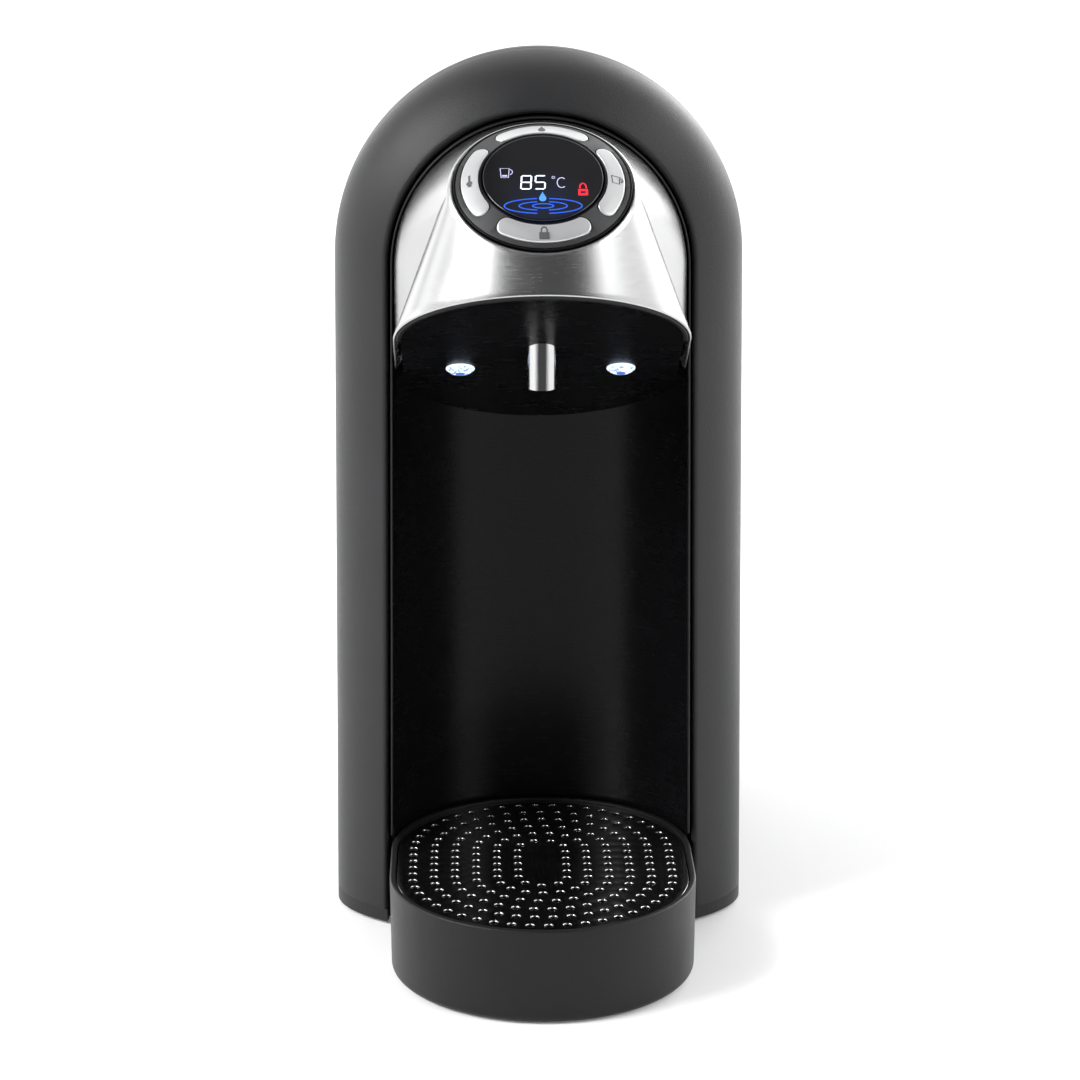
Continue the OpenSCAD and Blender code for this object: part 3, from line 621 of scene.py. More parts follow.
def seam_band():
    """The proud band behind the shell, its edges rounded off."""
    edge, rebate, tongue = 0.5, 3.2, 1.5
    depth = band_end_y - seam_y - 0.4
    section = corner(ARCH_R - edge, edge, edge, -90, 0, 4)
    section += corner(ARCH_R - edge, depth - edge, edge, 0, 90, 4)
    step, inside = ARCH_R - rebate, ARCH_R - rebate - tongue
    section += [(step, depth), (step, depth + 4), (inside, depth + 4), (inside, 0)]
    band = along_arch(section, band_end_y, base_z).made("seam_band")
    settle(band, "machine", "shell_charcoal")


def rear_housing():
    """The housing behind the band: hollow, with a bay for the tank and a platform under it."""
    rear_r = ARCH_R - BAND_PROUD

    def volume(inset, name):
        block = rear_block(band_end_y - inset, rear_r - inset, back_y - inset, BACK_ROUND - inset,
                           base_z - inset, name)
        return boolean(block, box((-FAR, bay_y - inset, deck_z - inset), (FAR, FAR, FAR)))

    housing = boolean(volume(0, "housing_rear"), volume(WALL, "inside"))
    dock = middle("dock_socket")
    switch = middle("tank_switch")
    bush = middle("cord_inlet")
    for x, radius in ((dock.x, 12.1), (switch.x, 4.1)):
        place = Matrix.Translation((x, dock.y, deck_z))
        boolean(housing, cylinder(radius, -6, 2, place).made("hole"))
    turned = Matrix.Translation((bush.x, back_y + 2, bush.z)) @ Matrix.Rotation(math.pi / 2, 4, "X")
    boolean(housing, cylinder(6.2, 0, 12, turned).made("hole"))
    bevelled(housing, 0.5)
    settle(housing, "machine", "shell_charcoal", "main_housing", angle=25)


def liner():
    """The glossy half cylinder behind the cup."""
    wall = 1.8
    start = math.asin((liner_low.y - cavity_y) / CAVITY_R)

    def rim(radius):
        return [(x, cavity_y + y) for x, y in arc(radius, start, math.pi - start, 96)]

    inner, outer = rim(CAVITY_R), rim(CAVITY_R + wall)
    rows = [[(x, y, liner_low.z) for x, y in inner], [(x, y, under_height(y, 9)) for x, y in inner],
            [(x, y, under_height(y, 9)) for x, y in outer], [(x, y, liner_low.z) for x, y in outer]]
    shape = Shape().grid(rows, along=True)
    shape.face([row[0] for row in rows]).face([row[-1] for row in rows])
    settle(shape.made("liner"), "machine", "black_gloss", "cavity_liner")


def bezel():
    """The thin trim between the shell's lip and the cavity."""
    low, high = corners("cavity_bezel")
    outer, half = 55.6, 0.35
    depth = high.y - low.y
    section = [(outer, 0)] + corner(outer - half, depth - half, half, 0, 180, 8) + [(outer - 2 * half, 0)]
    settle(along_arch(section, high.y, low.z).made("cavity_trim"), "machine", "rim_grey", "cavity_bezel")


# ---------------------------------------------------------------- head


def under_height(y, rise=0):
    """The height of the head's underside at depth y."""
    return under_z + rise / math.cos(UNDER_TILT) - math.tan(UNDER_TILT) * (y - cavity_y)


def nose_point(t, inset=0):
    """A point in plan of the head's round front, from its left side at half a turn round to its right."""
    return Vector(((STEEL_R - inset) * math.cos(t), head_mid_y + (HEAD_NOSE - inset) * math.sin(t)))


def head_skirt():
    """The loop the steel hangs from: the arch's outline, then the underside's edge, with its direction."""
    nose_steps = 120
    up, back = Vector((0, 0, 1)), Vector((0, math.cos(UNDER_TILT), -math.sin(UNDER_TILT)))
    low_right, mid_right = (Vector((STEEL_R, y, under_height(y))) for y in (head_back_y, head_mid_y))
    high_right = Vector((STEEL_R, head_back_y, arch_z))
    low_left, mid_left, high_left = (Vector((-p.x, p.y, p.z)) for p in (low_right, mid_right, high_right))
    loop = []

    def straight(start, end, steps):
        run = (end - start).normalized()
        loop.extend((start.lerp(end, i / steps), run) for i in range(steps + 1))

    def fan(at, first, last):
        turn = first.rotation_difference(last)
        loop.extend((at, Quaternion().slerp(turn, i / 6) @ first) for i in range(1, 6))

    straight(low_right, high_right, 44)
    for x, z in arc(STEEL_R, 0, math.pi, 96)[1:-1]:
        loop.append((Vector((x, head_back_y, arch_z + z)), Vector((-z, 0, x)).normalized()))
    straight(high_left, low_left, 44)
    fan(low_left, -up, -back)
    straight(low_left, mid_left, 14)
    for i in range(1, nose_steps):
        t = math.pi + math.pi * i / nose_steps
        x, y = nose_point(t)
        run = Vector((-STEEL_R * math.sin(t), HEAD_NOSE * math.cos(t), 0))
        run.z = -math.tan(UNDER_TILT) * run.y
        loop.append((Vector((x, y, under_height(y))), run.normalized()))
    straight(mid_right, low_right, 14)
    fan(low_right, back, up)
    return loop


def outward_plane(point, run):
    """The plane through a point and its run that rests on the collar: its normal, and where it rests."""
    inside = panel @ Vector((0, 0, -15))
    first = run.orthogonal().normalized()
    second = run.cross(first)
    across = Matrix.Identity(3) - Matrix([[a * b for b in panel_normal] for a in panel_normal])
    steps = 720

    def normal(t):
        return first * math.cos(t) + second * math.sin(t)

    def gap(t):
        n = normal(t)
        return (panel_centre - point).dot(n) + COLLAR_R * (across @ n).length

    turns = [2 * math.pi * i / steps for i in range(steps + 1)]
    gaps = [gap(t) for t in turns]
    found = []
    for t0, t1, g0, g1 in zip(turns, turns[1:], gaps, gaps[1:]):
        if g0 * g1 <= 0 and g0 != g1 and normal(t0).dot(point - inside) > 0:
            found.append(normal(t0 + (t1 - t0) * g0 / (g0 - g1)))
    best = max(found, key=lambda n: n.dot(point - inside))
    return best, (across @ best).normalized()


def softened(rows, near, first, last):
    """Blends the rows near the head's low corners with their neighbours, so that no hard crease is left."""
    reach = 18
    count = len(rows)
    table = np.array([[list(p) for p in row] for row in rows])
    for _ in range(2):
        out = table.copy()
        for j in range(first, last):
            bulge = math.sqrt(math.sin(math.pi * (j - first + 1) / (last - first + 1)))
            for i, close in enumerate(near):
                width = round(reach * bulge * close * close * (3 - 2 * close))
                window = [(i + k) % count for k in range(-width, width + 1)]
                out[i, j] = table[window, j].mean(axis=0)
        table = out
    return [[Vector(p) for p in row] for row in table]


def head_cover():
    """The steel pressing: straight lines run from its skirt to the round collar, where a lip turns in."""
    seat, groove = RING_R + 0.5, RING_R + 0.2
    rows, near = [], []
    for point, run in head_skirt():
        low_corner = Vector((math.copysign(STEEL_R, point.x), head_back_y, under_height(head_back_y)))
        near.append(max(0, 1 - (point - low_corner).length / 45))
        normal, radial = outward_plane(point, run)
        collar = panel_centre + radial * COLLAR_R
        line = collar - point
        length = line.length
        line.normalize()
        foot = point + line * min(HEAD_LIP, length / 3)
        row = [foot - normal * HEAD_LIP + (normal * math.cos(t) - line * math.sin(t)) * HEAD_LIP
               for t in (math.pi * (1 - i / 8) for i in range(9))]
        row += [foot.lerp(collar, i / 12) for i in range(1, 12)]
        row += [collar, panel_centre + radial * seat]
        row += [panel_centre + radial * groove - panel_normal * sunk for sunk in (0.3, HEAD_WALL)]
        rows.append(row)
    head = Shape().grid(softened(rows, near, 9, 20), around=True, along=True).made("head_steel")
    settle(head, "machine", "brushed_steel", "head_cover", angle=80)


def underside_rim():
    """The thin dark trim round the glossy underside, its lower edge rounded."""
    steps = 120
    rows = []
    for inset, drop in ((3, -1.2), (3, 0.1), (2.8, 0.3), (1.6, 0.3), (1.4, 0.1), (1.4, -1.2)):
        plan = [nose_point(math.pi + math.pi * i / steps, inset) for i in range(steps + 1)]
        rows.append([(x, y, under_height(y, -drop)) for x, y in plan])
    rim = Shape().grid(rows, along=True)
    rim.face([row[0] for row in rows]).face([row[-1] for row in rows])
    settle(rim.made("underside_trim"), "machine", "rim_grey", "underside_rim")


def nozzle():
    """The polished outlet, its lower lip rounded."""
    bore, flange = 4.6, 1.6
    outside = nozzle_high.x - 2
    low, high = nozzle_low.z, nozzle_high.z
    section = corner(outside - 0.35, low + 0.35, 0.35, -90, 0, 5)
    section += [(outside, high - flange), (nozzle_high.x, high - flange), (nozzle_high.x, high), (bore, high)]
    section += corner(bore + 0.25, low + 0.25, 0.25, 180, 270, 4)
    place = Matrix.Translation((0, middle("nozzle_sleeve").y, 0))
    settle(lathed(section, place).made("nozzle"), "machine", "polished_steel", "nozzle_sleeve",
           material=nozzle_painted_reflection)


def lights():
    """Two lit lenses in the underside: a bright rim, a faceted dome and a darker core at its crown."""
    turned_down = Matrix.Rotation(-UNDER_TILT, 4, "X") @ Matrix.Rotation(math.pi, 4, "X")
    low, high = corners("light_lenses")
    y = (low.y + high.y) / 2 - 0.7
    radius, rim, crown, core = 5.0, 0.4, 2.6, 1.7
    dome = [(radius * x, rim + (crown - rim) * z) for x, z in arc(1, 0, math.pi / 2, 12)[:-1]]
    tip = [(core, crown - 0.5), (core, crown - 0.05), (core - 0.4, crown + 0.1), (0.05, crown + 0.12)]
    for side, name in ((-1, "left"), (1, "right")):
        place = Matrix.Translation((side * (high.x - 6), y, under_height(y))) @ turned_down
        lens = lathed([(radius, -2)] + dome + [(0.05, crown)], place, 48, closed=False)
        nodes = ["light_lenses"] if side < 0 else []
        settle(lens.made("light_lens_" + name), "machine", "light_lens", *nodes)
        ring = lathed(corner(radius, rim, rim, 0, 360, 12)[:-1], place, 48)
        settle(ring.made("light_ring_" + name), "machine", "light_lens", material=rim_white)
        die = lathed(tip, place, 32, closed=False)
        settle(die.made("light_core_" + name), "machine", "light_lens", material=core_blue)


# ---------------------------------------------------------------- control panel


def cone_rise(r, proud=0.0):
    """Height of the panel's conical face at radius r."""
    slope = (LENS_RISE - RING_EDGE) / (RING_R - LENS_R)
    return RING_EDGE + proud + slope * (RING_R - r)


def arc_slot(mid_r, width, half, steps=40):
    """Outline of a slot that follows a circle, with round ends, about the +X direction."""
    tip = half - math.asin(width / 2 / mid_r)
    outline = arc(mid_r + width / 2, -tip, tip, steps)
    for at, turn in ((tip, tip), (-tip, math.pi - tip)):
        end = arc(width / 2, turn, turn + math.pi, 14)[1:-1]
        outline += [(mid_r * math.cos(at) + x, mid_r * math.sin(at) + y) for x, y in end]
        if at > 0:
            outline += arc(mid_r - width / 2, tip, -tip, steps)
    return outline


def turned(points, angle):
    c, s = math.cos(angle), math.sin(angle)
    return [(c * x - s * y, s * x + c * y) for x, y in points]


def prism(outline, z_from, z_to):
    """An outline drawn out from one height to another; either height may be a function of the point."""
    def level(z):
        return [(x, y, z(x, y) if callable(z) else z) for x, y in outline]
    rows = [level(z_from), level(z_to)]
    return Shape().grid(rows, around=True).face(rows[0]).face(rows[1])


def control_ring():
    """The satin plate that holds the keys, between a glossy outer rim and a glossy groove round the glass."""
    outer, inner, deep = 31.2, 22.6, 2.4
    high, low = cone_rise(inner), cone_rise(outer)
    plate = [(outer, low - deep)] + corner(outer - 0.3, low - 0.3, 0.3, 0, 70, 4)
    plate += corner(inner + 0.3, high - 0.3, 0.3, 110, 180, 4) + [(inner, high - deep)]
    ring = lathed(plate, panel, 192).made("key_plate")
    for i in range(4):
        slot = turned(arc_slot(KEY_MID_R, KEY_W + 2 * KEY_GAP, KEY_HALF + 0.014), i * math.pi / 2)
        boolean(ring, prism(slot, -6, 12).moved(panel).made("slot"))
    bevelled(ring, 0.15, segments=2, angle=50)
    settle(ring, "machine", "ring_grey", "control_ring", angle=30)

    rim = corner(RING_R - 0.35, RING_EDGE - 0.1, 0.35, -20, 80, 6)
    rim += corner(outer + 0.25, low - 0.3, 0.2, 70, 180, 5) + [(outer + 0.05, -2), (RING_R, -2)]
    settle(lathed(rim, panel, 192).made("ring_rim"), "machine", "black_gloss")

    groove = [(inner - 0.05, high - deep)] + corner(inner - 0.4, high - 0.4, 0.35, 0, 110, 5)
    groove += [(LENS_R + 0.1, high - 0.9), (LENS_R + 0.1, high - deep)]
    settle(lathed(groove, panel, 192).made("ring_groove"), "machine", "black_gloss")

    floor = cylinder(RING_R - 1.5, -5.2, -4.7, panel, 96)
    settle(floor.made("key_well"), "machine", "black_gloss")


def key(name, quarter):
    """One silver key, crowned along its arc, with rounded edges. The first quarter is on the right."""
    outline = turned(arc_slot(KEY_MID_R, KEY_W, KEY_HALF), quarter * math.pi / 2)

    def top(x, y):
        return cone_rise(math.hypot(x, y), KEY_PROUD)

    cap = prism(outline, -2.6, top).moved(panel).made("key_" + name)
    bevelled(cap, 0.5, segments=4, angle=50)
    settle(cap, name + "_key", "key_silver", "button_" + name, angle=50)


def stroke(points, width, closed=False):
    """A flat line of a given width through points in a plane, as quads between its two sides."""
    count = len(points)
    sides = []
    for i, p in enumerate(points):
        before = points[i - 1] if i or closed else p
        after = points[(i + 1) % count] if i < count - 1 or closed else p
        run = Vector((after[0] - before[0], after[1] - before[1])).normalized()
        across = Vector((-run.y, run.x)) * width / 2
        sides.append([(p[0] + across.x, p[1] + across.y), (p[0] - across.x, p[1] - across.y)])
    return sides + sides[:1] if closed else sides


class Print:
    """Flat marks on a plane, gathered into one thin piece."""

    def __init__(self, lift):
        self.shape = Shape()
        self.lift = lift

    def put(self, rows):
        self.shape.grid([[self.lift(x, y) for x, y in row] for row in rows])

    def fill(self, outline):
        self.shape.face([self.lift(x, y) for x, y in outline])

    def made(self, name, body, slot, material):
        obj = self.shape.made(name)
        solid = obj.modifiers.new("ink", "SOLIDIFY")
        solid.thickness = 0.03 * MM
        solid.offset = 0
        applied(obj)
        return settle(obj, body, slot, material=material)


def segments(pattern, x, y):
    """The lit bars of a seven-segment digit whose middle is at x, y."""
    w, h, t = 3.5 / 2, 6.6 / 2, 0.52 / 2
    lean, gap = 0.06, 0.12
    bars = {
        "a": (0, h, 0), "g": (0, 0, 0), "d": (0, -h, 0),
        "f": (-w, h / 2, 1), "b": (w, h / 2, 1), "e": (-w, -h / 2, 1), "c": (w, -h / 2, 1),
    }
    for letter in pattern:
        bx, by, upright = bars[letter]
        half = (h / 2 if upright else w) - gap
        bar = [(-half, 0), (t - half, t), (half - t, t), (half, 0), (half - t, -t), (t - half, -t)]
        if upright:
            bar = [(v, u) for u, v in bar]
        yield [(x + bx + u + lean * (by + v), y + by + v) for u, v in bar]


def ellipse(cx, cy, a, b, start, end, steps=36):
    """Points on an ellipse, its angles in degrees."""
    angles = [math.radians(start + (end - start) * i / steps) for i in range(steps + 1)]
    return [(cx + a * math.cos(t), cy + b * math.sin(t)) for t in angles]


def display():
    """The round glass and what it shows: a temperature, a cup, a padlock and a drop over rings of water."""
    section = [(LENS_R, lens_top - LENS_T)] + corner(LENS_R - 0.5, lens_top - 0.5, 0.5, 0, 80, 6)
    section += [(LENS_R - 1.0, lens_top), (LENS_R * 0.5, lens_top), (0.05, lens_top)]
    glass = lathed(section, panel, 160, closed=False)
    settle(glass.made("display_glass"), "machine", "display_glass", "display_lens")

    def lift(x, y):
        return on_display(x, y, 0.02)

    def shown(marks, name, material):
        marks.made("display_" + name, "machine", "display_glass", material)

    digits = Print(lift)
    for digit, x in (("abcdefg", -6.0), ("acdfg", -1.0)):
        for bar in segments(digit, x, -2.6):
            digits.fill(bar)
    shown(digits, "digits", glow_white)

    units = Print(lift)
    units.put(stroke(ellipse(3.7, -0.2, 0.5, 0.55, 0, 360, 16)[:-1], 0.22, closed=True))
    units.put(stroke(ellipse(6.6, -2.8, 1.6, 2.5, 50, 310, 24), 0.34))
    cup = [(-15.2, 4.4), (-14.9, -0.2), (-12.3, -0.2), (-12.0, 4.4)]
    units.put(stroke(cup, 0.3, closed=True))
    units.put(stroke(ellipse(-12.0, 2.6, 1.2, 1.3, -80, 80, 12), 0.3))
    units.put(stroke([(-14.5, 0.7), (-12.7, 0.7)], 0.7))
    shown(units, "units", glow_pale)

    lock = Print(lift)
    body = [(12.8, -8.7), (15.4, -8.7), (15.4, -6.6), (12.8, -6.6)]
    lock.put(stroke(body, 1.3, closed=True))
    shackle = [(13.0, -5.7)] + ellipse(14.1, -5.0, 1.1, 1.8, 180, 0, 12) + [(15.2, -5.7)]
    lock.put(stroke(shackle, 0.5))
    shown(lock, "lock", glow_red)

    rings = Print(lift)
    for a, b, gap, width in ((13.7, 3.7, 9, 0.5), (8.5, 2.1, 14, 0.48), (3.7, 1.1, 0, 0.5)):
        for first in (90 + gap, 270 + gap):
            rings.put(stroke(ellipse(-0.2, -14.4, a, b, first, first + 180 - 2 * gap), width))
    shown(rings, "rings", glow_blue)

    drop = Print(lift)
    drop.fill(ellipse(-0.3, -10.6, 1.3, 1.5, 160, 380, 16) + [(0, -8.1), (-0.3, -7.4), (-0.6, -8.1)])
    shown(drop, "drop", glow_drop)


def icon(name, x, y, lines, fills=()):
    """A small printed picture on a key, following the key's cone."""
    def lift(u, v):
        return panel @ Vector((u, v, cone_rise(math.hypot(u, v), KEY_PROUD + 0.015)))

    ink = Print(lift)
    for points, width, closed in lines:
        placed = [(x + ICON_SIZE * u, y + ICON_SIZE * v) for u, v in points]
        ink.put(stroke(placed, ICON_SIZE * width, closed))
    for points in fills:
        ink.fill([(x + ICON_SIZE * u, y + ICON_SIZE * v) for u, v in points])
    ink.made("icon_" + name, name + "_key", "key_silver", icon_ink)


def icons():
    """A drop, a thermometer, a cup and a padlock."""
    drop = ellipse(0, -0.5, 0.95, 0.95, 150, 390, 16) + [(0.3, 0.9), (0, 1.6), (-0.3, 0.9)]
    icon("dispense", 0, KEY_MID_R, [], [drop])
    tube = [(0, -0.6), (0, 1.7)]
    bulb = ellipse(0, -1.1, 0.75, 0.75, 0, 350)
    icon("temperature", -KEY_MID_R, 0, [(tube, 0.55, False)], [bulb])
    cup = [(-1.2, 1.2), (-1.0, -1.2), (0.7, -1.2), (0.9, 1.2)]
    handle = ellipse(0.85, 0.2, 0.75, 0.65, -75, 75, 10)
    icon("volume", KEY_MID_R, 0, [(cup, 0.36, True), (handle, 0.34, False)])
    shackle = [(-0.7, 0.2)] + ellipse(0, 0.6, 0.7, 0.85, 180, 0, 12) + [(0.7, 0.2)]
    body = [(-1.2, -1.5), (1.2, -1.5), (1.2, 0.2), (-1.2, 0.2)]
    icon("lock", 0, -KEY_MID_R, [(shackle, 0.36, False)], [body])


# ---------------------------------------------------------------- tray


def stadium(r, steps=64):
    """A stadium outline whose round ends have radius r."""
    half = tray_straight / 2
    front = [(x, y + half) for x, y in arc(r, 0, math.pi, steps)]
    return front + [(x, y - half) for x, y in arc(r, math.pi, 2 * math.pi, steps)]


def stadium_rows(levels):
    """Stadium outlines of given radius and height, one above the other."""
    return [[(x, tray_y + y, z) for x, y in stadium(r)] for r, z in levels]


def drip_tray():
    """The tray: a rounded foot, a side with a little draft, a thin lip, and a ledge for the grille inside."""
    low = tray_low.z
    inner = TRAY_R - 2.2
    step = inner - 2.4
    ledge = grille_low.z - 0.2
    levels = [(TRAY_R - 4.5, low)] + corner(TRAY_R - 3.3, low + 2.9, 2.9, -90, -4, 10)
    levels += [(TRAY_R, tray_top - 0.7)] + corner(TRAY_R - 0.7, tray_top - 0.7, 0.7, 5, 90, 5)
    levels += corner(inner + 0.35, tray_top - 0.35, 0.35, 90, 180, 4)
    levels += [(inner, ledge + 0.3), (inner - 0.3, ledge), (step + 0.3, ledge)]
    levels += [(step, ledge - 0.3), (step, ledge - 2.8), (inner, ledge - 4.5)]
    levels += corner(inner - 3, low + 5.2, 3, 0, -90, 8)
    rows = stadium_rows(levels)
    shape = Shape().grid(rows, around=True)
    shape.face(rows[0]).face(rows[-1])
    settle(shape.made("tray"), "tray", "tray_charcoal", "drip_tray")


def hole_centres():
    """The grille's holes: rings that follow its outline, evenly spaced along each."""
    for ring in range(HOLE_RINGS):
        r = TRAY_R - 8.5 - ring * HOLE_PITCH
        half_way = math.pi * r + tray_straight
        count = round(2 * half_way / HOLE_SPACING)
        for i in range(count):
            s = 2 * half_way * (i + 0.5) / count
            sign = 1 if s < half_way else -1
            q = s % half_way
            if q < math.pi * r:
                x, y = r * math.cos(q / r), tray_straight / 2 + r * math.sin(q / r)
            else:
                x, y = -r, tray_straight / 2 - (q - math.pi * r)
            yield sign * x, sign * y


def drip_grille():
    """The steel plate, each hole rolled over at its top edge."""
    roll = 0.35
    steps = 20
    low, high = grille_low.z, grille_high.z
    edge = grille_high.x
    holes = list(hole_centres())

    def face_between(radius, outline_r, z):
        """A flat face with round holes, as triangles."""
        outline = stadium(outline_r)
        loops = [outline] + [[(cx + x, cy + y) for x, y in arc(radius, 0, 2 * math.pi, steps)[:-1]]
                             for cx, cy in holes]
        points = [Vector(p) for loop in loops for p in loop]
        edges, first = [], 0
        for loop in loops:
            edges += [(first + i, first + (i + 1) % len(loop)) for i in range(len(loop))]
            first += len(loop)
        found = delaunay_2d_cdt(points, edges, [], 1, 1e-6)
        centres = np.array(holes)
        faces = []
        for f in found[2]:
            c = sum((found[0][i] for i in f), Vector((0, 0))) / len(f)
            if np.min(np.hypot(*(centres - (c.x, c.y)).T)) > radius * 0.97:
                faces.append(f)
        return [(p.x, tray_y + p.y, z) for p in found[0]], faces

    plate = Shape()
    plate.triangles(*face_between(HOLE_R + roll, edge - 0.3, high))
    plate.triangles(*face_between(HOLE_R, edge, low))
    rim = [(edge, low)] + corner(edge - 0.3, high - 0.3, 0.3, 0, 90, 4)
    plate.grid(stadium_rows(rim), around=True)
    section = corner(HOLE_R + roll, high - roll, roll, 90, 180, 4) + [(HOLE_R, low)]
    turns = arc(1, 0, 2 * math.pi, steps)[:-1]
    for cx, cy in holes:
        wall = [[(cx + r * x, tray_y + cy + r * y, z) for x, y in turns] for r, z in section]
        plate.grid(wall, around=True)
    settle(plate.made("grille"), "grille", "polished_steel", "drip_grille", material=mirror_steel)


# ---------------------------------------------------------------- tank


EAR_X = 15
EAR_HALF = 5
BARREL_HALF = 40


def tank_block(inset, z_from, z_to, name):
    """The tank's outer form between two heights, set in all round."""
    block = rear_block(bay_y + 1 + inset, ARCH_R - BAND_PROUD - 0.2 - inset, back_y - inset,
                       BACK_ROUND - inset, 0, name)
    clipped(block, (0, 0, z_from), (0, 0, -1))
    return clipped(block, (0, 0, z_to), (0, 0, 1))


def barrel_axis():
    """The place of the lid's hinge, its Z along the pin."""
    return Matrix.Translation(middle("lid_hinge_pin")) @ Matrix.Rotation(math.pi / 2, 4, "Y")


def water_tank():
    """The smoke-grey tank, hollow, with a finger recess in its back and a spout under it."""
    wall = 2
    outside = tank_block(0, tank_low.z + 8, tank_top_z, "tank")
    inside = tank_block(wall, tank_low.z + 10.5, tank_top_z + 5, "inside")
    recess_half, recess_low, recess_high = 32, 236, 262
    front, behind = back_y - 12, back_y + 5

    def pocket(grow):
        low = (-recess_half - grow, front - grow, recess_low - grow)
        cutter = box(low, (recess_half + grow, behind, recess_high + grow))
        return bevelled(cutter, 3 + grow, segments=5, angle=60)

    boolean(inside, pocket(wall))
    boolean(outside, inside)
    boolean(outside, pocket(0))
    barrel = middle("lid_hinge_pin")
    room = BARREL_HALF + 8
    boolean(outside, box((-room, barrel.y - 2, barrel.z - 2.3), (room, behind, barrel.z + 5)))
    dock = middle("dock_socket")
    place = Matrix.Translation((dock.x, dock.y, tank_low.z))
    boolean(outside, cylinder(5, 5, 12, place).made("hole"))
    bevelled(outside, 0.5, segments=2, angle=50)
    settle(outside, "tank", "tank_smoke", "water_tank", angle=25)
    for side in (-1, 1):
        start, end = side * EAR_X - EAR_HALF, side * EAR_X + EAR_HALF
        ear = cylinder(2, start, end, barrel_axis(), 40).made("ear")
        web = box((start, barrel.y - 2, barrel.z - 5), (end, barrel.y + 0.5, barrel.z))
        settle(boolean(ear, web, "UNION"), "tank", "tank_smoke", angle=50)
    spout = [(8, 8), (8, 0.5), (7.5, 0), (7.1, 0), (6.8, 0.4), (6.8, 7), (5, 7), (5, 8)]
    settle(lathed(spout, place, 64).made("tank_spout"), "tank", "tank_smoke")


def level_marks():
    """Raised lines on the tank's back that show how full it is."""
    for i in range(5):
        z = 60 + 38 * i
        half = 11 if i % 2 == 0 else 7
        bar = box((-half, back_y - 0.3, z - 0.4), (half, back_y, z + 0.4), f"level_mark_{i + 1}")
        bevelled(bar, 0.12)
        settle(bar, "tank", "tank_smoke", material=finish["rim_grey"])


def tank_lid():
    """The lid: a thin moulding that carries the body's line on, with its hinge barrel at the back."""
    lid = tank_block(0, tank_top_z + 0.4, FAR, "lid")
    boolean(lid, tank_block(2, 250, FAR, "inside"))
    along = barrel_axis()
    gap = EAR_HALF + 0.3
    for side in (-1, 1):
        boolean(lid, cylinder(2.3, side * EAR_X - gap, side * EAR_X + gap, along).made("ear gap"))
    bevelled(lid, 0.5, segments=2, angle=50)
    settle(lid, "lid", "shell_charcoal", "tank_lid", angle=25)
    for start, end, name in ((-BARREL_HALF, -EAR_X - gap, "left"), (gap - EAR_X, EAR_X - gap, "middle"),
                             (EAR_X + gap, BARREL_HALF, "right")):
        knuckle = lathed([(1.05, start), (2, start), (2, end), (1.05, end)], along, 32)
        knuckle = bevelled(knuckle.made("lid_knuckle_" + name), 0.2)
        settle(knuckle, "lid", "shell_charcoal")


# ---------------------------------------------------------------- stage


def stage():
    """A plain pale floor."""
    floor = box((-9000, -9000, -20), (9000, 9000, 0), "floor")
    n = Nodes("floor", Roughness=0.6, Emission_Strength=0.12)
    worn = n.noise(700)
    n.link(n.blend(worn, (0.84, 0.84, 0.84), (0.86, 0.86, 0.86)), n.shader.inputs["Base Color"])
    n.link(n.blend(worn, (0.97, 0.97, 0.97), (1, 1, 1)), n.shader.inputs["Emission Color"])
    floor.data.materials.append(n.material)


class Sky:
    """The studio round the machine: soft bright panels at given bearings and heights in a dim room."""

    def __init__(self):
        world = bpy.data.worlds.new("studio")
        bpy.context.scene.world = world
        world.use_nodes = True
        self.tree = world.node_tree
        split = self.tree.nodes.new("ShaderNodeSeparateXYZ")
        self.tree.links.new(self.tree.nodes.new("ShaderNodeTexCoord").outputs["Generated"], split.inputs[0])
        x, y, z = split.outputs
        self.bearing = self.math("DEGREES", self.math("ARCTAN2", x, self.math("MULTIPLY", y, -1)))
        self.height = self.math("DEGREES", self.math("ARCSINE", z))
        self.total = self.math("ADD", 0.0, 0.0)

    def math(self, operation, *values):
        made = self.tree.nodes.new("ShaderNodeMath")
        made.operation = operation
        for socket, value in zip(made.inputs, values):
            if isinstance(value, (int, float)):
                socket.default_value = value
            else:
                self.tree.links.new(value, socket)
        return made.outputs[0]

    def band(self, value, low, high, soft):
        """1 where the value is between low and high degrees, fading over the soft degrees outside."""
        sides = []
        for start, end in ((low - soft, low), (high + soft, high)):
            fade = self.tree.nodes.new("ShaderNodeMapRange")
            fade.interpolation_type = "SMOOTHSTEP"
            fade.inputs["From Min"].default_value = start
            fade.inputs["From Max"].default_value = end
            self.tree.links.new(value, fade.inputs["Value"])
            sides.append(fade.outputs[0])
        return self.math("MULTIPLY", *sides)

    def panel(self, strength, bearings, heights, soft=12):
        """A bright panel. A bearing is measured from the front towards the machine's right."""
        across = self.band(self.bearing, *bearings, soft)
        area = self.math("MULTIPLY", across, self.band(self.height, *heights, soft))
        self.total = self.math("ADD", self.total, self.math("MULTIPLY", area, strength))

    def done(self):
        background = self.tree.nodes["Background"]
        background.inputs["Color"].default_value = (1, 1, 1, 1)
        self.tree.links.new(self.total, background.inputs["Strength"])


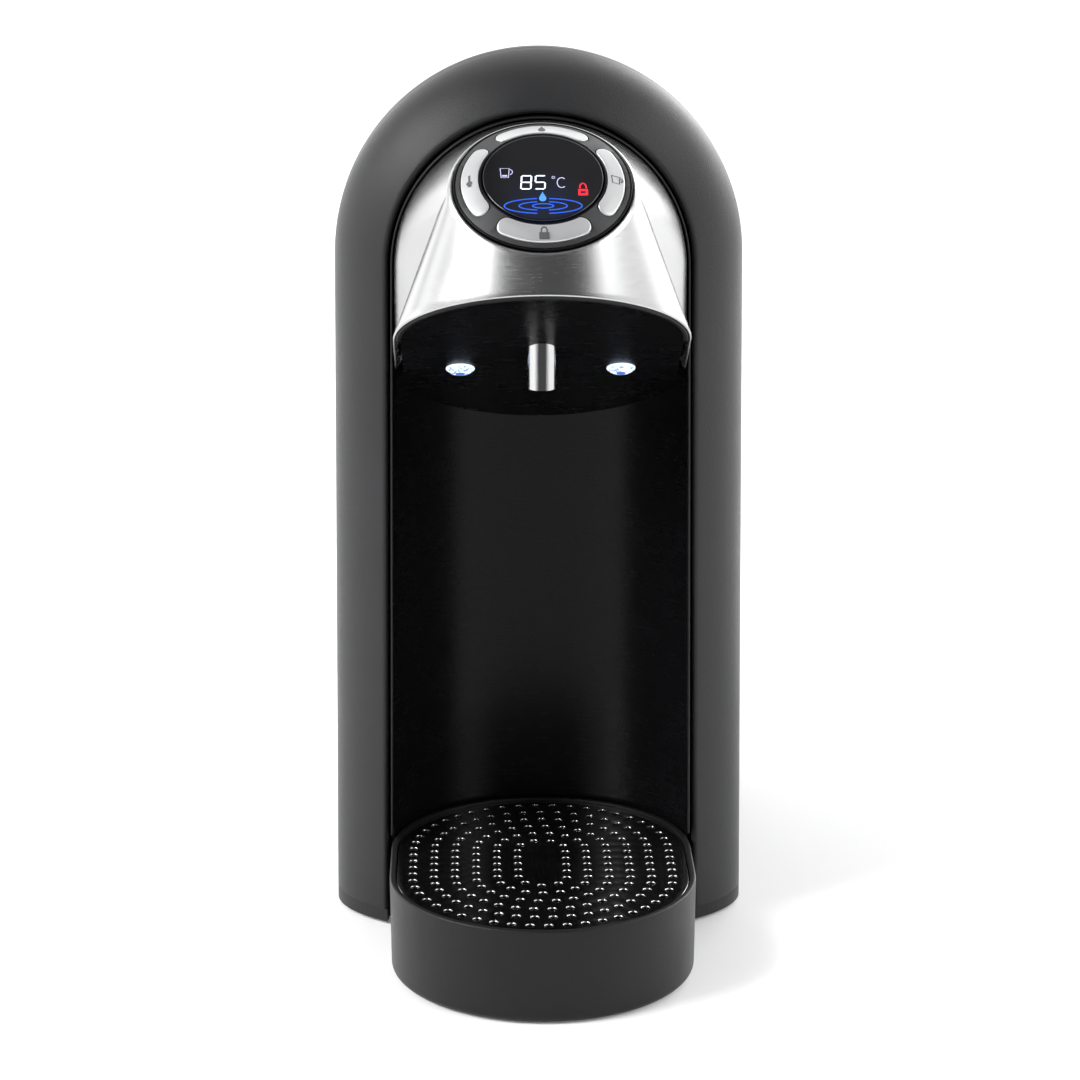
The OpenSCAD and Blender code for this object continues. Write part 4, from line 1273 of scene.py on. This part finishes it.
def studio():
    """The panels: strength, bearings, heights and the width of their soft edges."""
    sky = Sky()
    sky.panel(0.07, (-180, 180), (-90, 90))
    sky.panel(0.95, (-180, 180), (-90, 5), 5)
    sky.panel(0.9, (112, 240), (-10, 58), 16)
    sky.panel(0.9, (-240, -112), (-10, 58), 16)
    sky.panel(0.14, (-180, 180), (62, 90), 14)
    sky.panel(0.15, (110, 176), (70, 84), 6)
    sky.panel(1.2, (-118, -39), (6, 34), 6)
    sky.panel(1.3, (44, 118), (6, 34), 6)
    sky.panel(20.0, (-86, -58), (31, 46), 7)
    sky.panel(1.0, (-160, -138), (10, 30), 8)
    sky.panel(0.8, (162, 182), (44, 66), 8)
    sky.panel(0.8, (-182, -162), (44, 66), 8)
    sky.panel(5.0, (54, 88), (33, 50), 7)
    sky.panel(4.0, (128, 160), (8, 34), 9)
    sky.done()


def camera():
    """The photograph's view: a long lens in front, 15 degrees above the level, a little to one side."""
    height, distance = 0.4659, 1.2035
    data = bpy.data.cameras.new("camera")
    data.sensor_width = 36
    data.lens = 105.17
    data.clip_end = 100
    eye = bpy.data.objects.new("camera", data)
    around = math.radians(-1.25)
    pivot_y = (seam_y - 22) * MM
    reach = pivot_y + distance
    eye.location = (reach * math.sin(around), pivot_y - reach * math.cos(around), height)
    eye.rotation_euler = (math.radians(90 - 15), 0, around)
    bpy.context.scene.collection.objects.link(eye)
    bpy.context.scene.camera = eye


# ---------------------------------------------------------------- the model

glow_white = lit("glow_white", (0.85, 0.9, 1.0), 1.05, 0.9)
glow_pale = lit("glow_pale", (0.42, 0.4, 0.62), 0.9)
glow_red = lit("glow_red", (0.85, 0.01, 0.03), 0.9)
glow_blue = lit("glow_blue", (0.01, 0.07, 0.5), 1.0)
glow_drop = lit("glow_drop", (0.05, 0.2, 0.6), 1.0)
icon_ink = moulded("icon_ink", (0.07, 0.07, 0.075), 0.45, grain=0.3, depth=0.004)
core_blue = lit("core_blue", (0.06, 0.13, 0.4), 0.8)
rim_white = lit("rim_white", (0.7, 0.82, 1.0), 1.0)
mirror_steel = steel("mirror_steel", (0.6, 0.6, 0.61), 0.16, brush=0.3, depth=0.002, stretch=(1, 40, 1),
                     anisotropic=0.1, swirl=0.05)
# the nozzle's steel, with a dark reflection streak painted into its colour
nozzle_painted_reflection = painted_reflection_steel("nozzle_painted_reflection", (0.5, 0.5, 0.505), 1.3, 1.4)

for subpart in frame["record"]["subparts"]:
    node = frame["nodes"][subpart["node"]]
    node.data.materials.clear()
    node.data.materials.append(finish[subpart["material_slot"]])

camera()
stage()
studio()
front_shell()
seam_band()
rear_housing()
liner()
bezel()
head_cover()
underside_rim()
nozzle()
lights()
control_ring()
for name, quarter in (("dispense", 1), ("temperature", 2), ("volume", 0), ("lock", 3)):
    key(name, quarter)
icons()
display()
drip_tray()
drip_grille()
water_tank()
level_marks()
tank_lid()

bpy.context.scene.view_settings.view_transform = "Standard"
